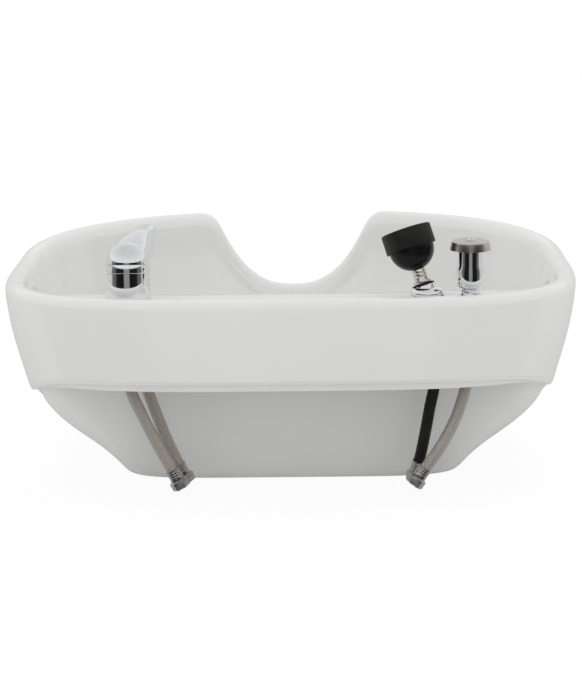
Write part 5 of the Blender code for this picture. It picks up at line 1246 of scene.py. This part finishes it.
def add_bonnet():
    """Ring and ball between the mixer's body and its handle, with a fine line round its foot."""
    outer = MIXER_RADIUS
    high = sqrt(BONNET_BALL_RADIUS ** 2 - BONNET_BALL_TOP ** 2)
    inner = sqrt(BONNET_BALL_INSIDE ** 2 - BONNET_BALL_TOP ** 2)
    start = atan((BONNET_HEIGHT - PIVOT_HEIGHT) / BONNET_BALL_RADIUS)
    ring = [(outer - BONNET_LINE, GAP), (outer, GAP + BONNET_LINE), (outer, BONNET_HEIGHT)]
    ring += arc(0, PIVOT_HEIGHT, BONNET_BALL_RADIUS, start, atan(BONNET_BALL_TOP / high), DOME_RINGS)
    ring += [(inner, PIVOT_HEIGHT + BONNET_BALL_TOP)]
    ring += arc(0, PIVOT_HEIGHT, BONNET_BALL_INSIDE, atan(BONNET_BALL_TOP / inner), 0.0, DOME_RINGS)[1:]
    ring += [(BONNET_BALL_INSIDE, GAP)]
    lathe("bonnet", ring, "chrome", mixer_frame(), "bowl", ["bonnet_ring"])


# Deck fittings
PLATE_ROUND = 0.0009
SLEEVE_EDGE = 0.0007


def oblong_mesh(name, left, right, radius, bottom, top, sides=SMALL_FINE_SIDES):
    """Upright solid with round ends, its end centres at two places along X."""
    half = sides // 2
    turn = [pi / 2 + pi * k / half for k in range(half + 1)]
    corners = [(left + radius * cos(a), radius * sin(a)) for a in turn]
    corners += [(right - radius * cos(a), -radius * sin(a)) for a in turn]
    bm = bmesh.new()
    low, high = ([bm.verts.new((x, y, z)) for x, y in corners] for z in (bottom, top))
    join_rings(bm, low, high)
    bm.faces.new(low)
    bm.faces.new(high)
    return finish_mesh(bm, name)


def add_deck_plate():
    bottom = plate_top() - PLATE_THICKNESS
    mesh = oblong_mesh("plate", HOLDER_X, BREAKER_X - SLOT_SHORT, PLATE_HALF_WIDTH, bottom, plate_top(),
                       FINE_SIDES)
    plate = new_piece("plate", mesh, FINISHES["chrome"], place(0, FITTINGS_Y))
    tools = [round_tool(radius + GAP, bottom - CUT_OVERRUN, plate_top() + CUT_OVERRUN, place(x, FITTINGS_Y))
             for x, radius in [(HOLDER_X, HOLDER_SHANK_RADIUS), (BREAKER_X, BREAKER_SHANK_RADIUS)]]
    carve(plate, tools)
    soften(plate, PLATE_ROUND, 3)
    settle(plate, "bowl", ["deck_plate"])


def add_holder():
    """Low dome with the leaning sleeve and the shank below, and the black bush in the sleeve."""
    holder = holder_frame()
    seat = plate_top() + GAP
    upright = place(HOLDER_X, FITTINGS_Y)
    wide, tall = HOLDER_DOME_RADIUS - HOLDER_DOME_TOP_RADIUS, HOLDER_DOME_HEIGHT - PLATE_EDGE
    steps = DOME_RINGS
    outline = [(0, seat), (HOLDER_DOME_RADIUS, seat)]
    outline += [(HOLDER_DOME_TOP_RADIUS + wide * cos(pi * k / 2 / steps),
                 seat + PLATE_EDGE + tall * sin(pi * k / 2 / steps)) for k in range(steps + 1)]
    outline += [(0, seat + HOLDER_DOME_HEIGHT)]
    dome = turned_piece("holder_dome", outline, "chrome", upright)
    sleeve = tool_object(turned_mesh("tool", [
        (0, -HOLDER_SLEEVE_DEPTH), (HOLDER_SLEEVE_RADIUS, -HOLDER_SLEEVE_DEPTH),
        (HOLDER_SLEEVE_RADIUS, -SLEEVE_EDGE), (HOLDER_SLEEVE_RADIUS - SLEEVE_EDGE, 0), (0, 0)]), holder)
    reach = 4 * HOLDER_DOME_RADIUS
    tools = [sleeve, box_tool((reach, reach, reach), (0, 0, seat - reach / 2), upright),
             round_tool(HOLDER_SHANK_RADIUS, HOLDER_SHANK_END, seat + PLATE_EDGE, upright, FINE_SIDES),
             round_tool(HOLDER_SHANK_BORE, HOLDER_SHANK_END - CUT_OVERRUN, HOLDER_BORE_TOP, upright),
             round_tool(HOLDER_SLEEVE_RADIUS + GAP, -GAP / 2, reach, holder),
             round_tool(HOLDER_SLEEVE_BORE, -HOLDER_SLEEVE_BORE_DEPTH, CUT_OVERRUN, holder)]
    carve(dome, tools, joined=(0, 2))
    soften(dome, EDGE_ROUND)
    settle(dome, "bowl", ["spray_holder"])
    lip_top = GAP + HOLDER_BUSH_LIP
    bush = HOLDER_SLEEVE_BORE - GAP
    lathe("bush", [(bush, -HOLDER_BUSH_LENGTH), (bush, GAP), (HOLDER_BUSH_LIP_RADIUS, GAP),
                   (HOLDER_BUSH_LIP_RADIUS, lip_top), (HOLDER_BUSH_BORE, lip_top),
                   (HOLDER_BUSH_BORE, -HOLDER_BUSH_LENGTH)], "black_matt", holder, "bowl", ["holder_bush"])


# Vacuum breaker
BREAKER_SMOOTH_STEPS = 14
BREAKER_CONE_LOW = 0.2298
BREAKER_CONE_HIGH = 0.2350
CAP_EDGE_STEPS = 8
CAP_ROUND = 0.0020
SCREW_SLOT_WIDTH = 0.0008
SCREW_SLOT_TURN = radians(35)


def eased(low, high, steps):
    """Points that leave the first and reach the second point without a corner."""
    made = []
    for k in range(1, steps):
        share = smooth_step(k / steps, 0.0, 1.0)
        made.append((low[0] + (high[0] - low[0]) * share, low[1] + (high[1] - low[1]) * k / steps))
    return made


def add_breaker():
    upright = place(BREAKER_X, FITTINGS_Y)
    seat = plate_top() + GAP
    foot, bulge_low = (BREAKER_FOOT_RADIUS, BREAKER_FOOT_TOP), (BREAKER_BULGE_RADIUS, BREAKER_BULGE_BOTTOM)
    outline = [(BREAKER_SHANK_RADIUS, BREAKER_SHANK_END), (BREAKER_SHANK_RADIUS, seat),
               (BREAKER_FOOT_RADIUS, seat), foot, *eased(foot, bulge_low, BREAKER_SMOOTH_STEPS), bulge_low,
               (BREAKER_BULGE_RADIUS, BREAKER_CONE_LOW), (BREAKER_NECK_RADIUS, BREAKER_CONE_HIGH),
               (BREAKER_NECK_RADIUS, BREAKER_NECK_TOP), (BREAKER_CHAMBER_RADIUS, BREAKER_NECK_TOP),
               (BREAKER_CHAMBER_RADIUS, BREAKER_CHAMBER_BOTTOM),
               (BREAKER_BORE_RADIUS, BREAKER_CHAMBER_BOTTOM),
               (BREAKER_BORE_RADIUS, BREAKER_SHANK_END)]
    lathe("breaker_shell", outline, "chrome", upright, "bowl", ["breaker_body"])
    add_cap(upright)


def add_cap(upright):
    """Satin vent cap with a rounded edge and a skirt that widens downwards, and its slotted screw."""
    high = BREAKER_NECK_TOP + GAP + BRIDGE_THICKNESS
    ceiling = CAP_TOP - CAP_CROWN
    skirt = CAP_RADIUS - CAP_SKIRT
    hole = CAP_SCREW_RADIUS + GAP
    shoulder = CAP_RADIUS - CAP_TAPER
    edge = arc(shoulder - CAP_ROUND, CAP_TOP - CAP_ROUND, CAP_ROUND, 0.0, pi / 2, CAP_EDGE_STEPS)
    lathe("cap", [(CAP_BOSS_RADIUS, high + GAP), (CAP_BOSS_RADIUS, ceiling),
                  (skirt - CAP_TAPER, ceiling), (skirt, CAP_BOTTOM), (CAP_RADIUS, CAP_BOTTOM), *edge,
                  (hole, CAP_TOP), (hole, high + GAP)],
          "nickel", upright, "bowl", ["breaker_cap"])
    head, low = CAP_TOP + GAP, BREAKER_NECK_TOP + GAP
    crown = arc(0, head, CAP_SCREW_HEAD_HEIGHT, 0.0, pi / 2, CAP_EDGE_STEPS)[1:-1]
    stretch = CAP_SCREW_HEAD_RADIUS / CAP_SCREW_HEAD_HEIGHT
    screw = turned_piece("cap_screw", [
        (0, low), (CAP_SCREW_RADIUS, low), (CAP_SCREW_RADIUS, head), (CAP_SCREW_HEAD_RADIUS, head),
        *[(radius * stretch, height) for radius, height in crown], (0, head + CAP_SCREW_HEAD_HEIGHT)],
        "chrome", upright)
    slot = box_tool((SCREW_SLOT_WIDTH, 4 * CAP_SCREW_HEAD_RADIUS, CAP_SCREW_HEAD_HEIGHT),
                    (0, 0, head + CAP_SCREW_HEAD_HEIGHT), upright @ Matrix.Rotation(SCREW_SLOT_TURN, 4, "Z"))
    carve(screw, [slot])
    settle(screw, "bowl", ["breaker_cap_screw"])


# Spray head
NECK_GROOVE = 0.0003
NECK_GROOVES = 2
BALL_FINE_STEPS = 28


def add_adapter(holder):
    collar = 2 * GAP + HOLDER_BUSH_LIP
    neck = collar + ADAPTER_COLLAR_HEIGHT
    cup, tail = HOSE_RADIUS + GAP, -ADAPTER_TAIL_DEPTH
    floor = tail + ADAPTER_CUP_DEPTH
    outline = [(ADAPTER_TAIL_RADIUS, tail), (ADAPTER_TAIL_RADIUS, collar), (ADAPTER_COLLAR_RADIUS, collar),
               (ADAPTER_COLLAR_RADIUS, neck), (ADAPTER_NECK_RADIUS, neck)]
    run = ADAPTER_TOP - neck
    for k in range(NECK_GROOVES):
        middle = neck + run * (k + 1) / (NECK_GROOVES + 1)
        outline += [(ADAPTER_NECK_RADIUS, middle - NECK_GROOVE), (ADAPTER_NECK_RADIUS - NECK_GROOVE, middle),
                    (ADAPTER_NECK_RADIUS, middle + NECK_GROOVE)]
    outline += [(ADAPTER_NECK_RADIUS, ADAPTER_TOP), (ADAPTER_SPIGOT_RADIUS, ADAPTER_TOP),
                (ADAPTER_SPIGOT_RADIUS, ADAPTER_SPIGOT_TOP), (ADAPTER_BORE, ADAPTER_SPIGOT_TOP),
                (ADAPTER_BORE, floor), (cup, floor), (cup, tail)]
    lathe("adapter", outline, "neck", holder, "spray", ["spray_adapter"])


def add_ball(holder):
    inner = SPRAY_BALL_RADIUS - SPRAY_WALL
    hole = ADAPTER_SPIGOT_RADIUS + GAP
    low, low_inner = (-sqrt(radius ** 2 - hole ** 2) for radius in (SPRAY_BALL_RADIUS, inner))
    ball = arc(0, SPRAY_BALL_CENTRE, SPRAY_BALL_RADIUS, atan(low / hole), 0.0, BALL_FINE_STEPS)
    ball += [(SPRAY_BALL_RADIUS, SPRAY_BALL_TOP), (inner, SPRAY_BALL_TOP)]
    ball += arc(0, SPRAY_BALL_CENTRE, inner, 0.0, atan(low_inner / hole), BALL_FINE_STEPS)
    lathe("ball", ball, "black_gloss", holder, "spray", ["spray_ball"])


def add_collar(holder):
    bore = SPRAY_BALL_RADIUS + GAP
    lip = SPRAY_COLLAR_TOP - SPRAY_COLLAR_LIP
    edge = arc(SPRAY_COLLAR_RADIUS - SPRAY_COLLAR_EDGE, SPRAY_COLLAR_TOP - SPRAY_COLLAR_EDGE,
               SPRAY_COLLAR_EDGE, 0.0, pi / 2, CAP_EDGE_STEPS)
    lathe("collar", [(SPRAY_COLLAR_RADIUS, SPRAY_COLLAR_BOTTOM), *edge,
                     (SPRAY_COLLAR_LIP_RADIUS, SPRAY_COLLAR_TOP), (SPRAY_COLLAR_LIP_RADIUS, lip), (bore, lip),
                     (bore, SPRAY_COLLAR_BOTTOM)],
          "black_matt", holder, "spray", ["spray_collar"])


def add_face(holder):
    """Glossy face with a stepped rim and rings of drilled nozzles."""
    lip = SPRAY_COLLAR_TOP - SPRAY_COLLAR_LIP
    bottom, shoulder = SPRAY_BALL_TOP + 2 * GAP + SPRAY_SEAL_THICKNESS, lip - GAP
    top = shoulder + SPRAY_FACE_STEP
    face = turned_piece("face", [
        (0, bottom), (SPRAY_BALL_RADIUS, bottom), (SPRAY_BALL_RADIUS, shoulder),
        (SPRAY_FACE_RADIUS, shoulder), (SPRAY_FACE_RADIUS, top), (0, top)], "black_gloss", holder)
    places = [(0, 0)]
    for ring in range(1, NOZZLE_RINGS + 1):
        count = NOZZLES_PER_RING * ring
        turns = [2 * pi * (k + 1 / 2) / count for k in range(count)]
        places += [(NOZZLE_RING_SPACING * ring * cos(a), NOZZLE_RING_SPACING * ring * sin(a)) for a in turns]
    tools = [round_tool(NOZZLE_RADIUS, bottom - CUT_OVERRUN, top + CUT_OVERRUN, holder @ place(x, y),
                        HEX_SIDES) for x, y in places]
    carve(face, tools)
    soften(face, EDGE_ROUND / 2)
    settle(face, "spray", ["spray_face"])


# Drain
STRAINER_FINE_HOLES = 16
STRAINER_FINE_RADIUS = 0.0012


def add_drain():
    flange = FLOOR_LEVEL - DRAIN_SEAT_DROP + 2 * GAP + DRAIN_SEAL_THICKNESS
    top = flange + DRAIN_FLANGE_THICKNESS
    edge = arc(DRAIN_FLANGE_RADIUS - DRAIN_FLANGE_THICKNESS / 2, top - DRAIN_FLANGE_THICKNESS / 2,
               DRAIN_FLANGE_THICKNESS / 2, 0.0, pi / 2, CAP_EDGE_STEPS)
    lathe("drain", [(DRAIN_BODY_RADIUS, DRAIN_END_HEIGHT), (DRAIN_BODY_RADIUS, flange),
                    (DRAIN_FLANGE_RADIUS, flange), *edge, (DRAIN_BORE_RADIUS, top),
                    (DRAIN_BORE_RADIUS, flange - DRAIN_LIP_THICKNESS),
                    (DRAIN_LIP_RADIUS, flange - DRAIN_LIP_THICKNESS),
                    (DRAIN_LIP_RADIUS, flange - 2 * DRAIN_LIP_THICKNESS),
                    (DRAIN_BORE_RADIUS, flange - 3 * DRAIN_LIP_THICKNESS),
                    (DRAIN_BORE_RADIUS, DRAIN_END_HEIGHT)],
          "chrome", place(0, 0), "bowl", ["drain_body"])
    add_strainer(flange - DRAIN_LIP_THICKNESS + GAP)


def add_strainer(seat):
    cup_top = seat + STRAINER_HEIGHT
    knob = cup_top + STRAINER_KNOB_HEIGHT
    side, wall = STRAINER_RADIUS, STRAINER_WALL
    edge = arc(side - 2 * wall, cup_top - 2 * wall, 2 * wall, 0.0, pi / 2, CAP_EDGE_STEPS)
    head = arc(STRAINER_KNOB_RADIUS / 2, knob - wall, wall, -pi / 2, pi / 2, CAP_EDGE_STEPS)
    outline = [(side, seat), *edge, (STRAINER_KNOB_RADIUS / 2, cup_top), *head, (0, knob),
               (0, cup_top - wall), (side - 2 * wall, cup_top - wall), (side - wall, cup_top - 2 * wall),
               (side - wall, seat)]
    basket = turned_piece("basket", open_centre(outline), "chrome", place(0, 0))
    middle = (STRAINER_KNOB_RADIUS + side) / 2
    tools = []
    for k in range(STRAINER_FINE_HOLES):
        turn = 2 * pi * (k + 1 / 2) / STRAINER_FINE_HOLES
        tools.append(round_tool(STRAINER_FINE_RADIUS, cup_top - CUT_OVERRUN, cup_top + CUT_OVERRUN,
                                place(middle * cos(turn), middle * sin(turn))))
    carve(basket, tools)
    soften(basket, EDGE_ROUND / 2)
    settle(basket, "strainer", ["strainer_basket"])


def add_fittings():
    add_mixer_body()
    add_bonnet()
    add_handle()
    add_deck_plate()
    add_holder()
    add_breaker()
    holder = holder_frame()
    add_adapter(holder)
    add_ball(holder)
    add_collar(holder)
    add_face(holder)
    add_drain()


# Bowl
FINE_COLUMNS = 144


def add_bowl():
    mesh = bowl_mesh("bowl_shell", bowl_sections(), FINE_COLUMNS)
    bowl = new_piece("bowl_shell", mesh, FINISHES["ceramic"])
    step = bowl.modifiers.new("smooth", "SUBSURF")
    step.levels = step.render_levels = 1
    bottom = DECK_LEVEL - DECK_THICKNESS - CUT_OVERRUN
    top = DECK_LEVEL + CUT_OVERRUN
    holes = [round_tool(MIXER_HOLE_RADIUS, bottom, top, place(MIXER_X, MIXER_Y)),
             tool_object(oblong_mesh("tool", HOLDER_X, BREAKER_X - SLOT_SHORT, SLOT_RADIUS, bottom, top),
                         place(0, FITTINGS_Y))]
    carve(bowl, holes)
    settle(bowl, "bowl", ["ceramic_bowl"])


add_camera()
add_stage()
dress_cad_nodes()
add_bowl()
add_fittings()
add_hoses()
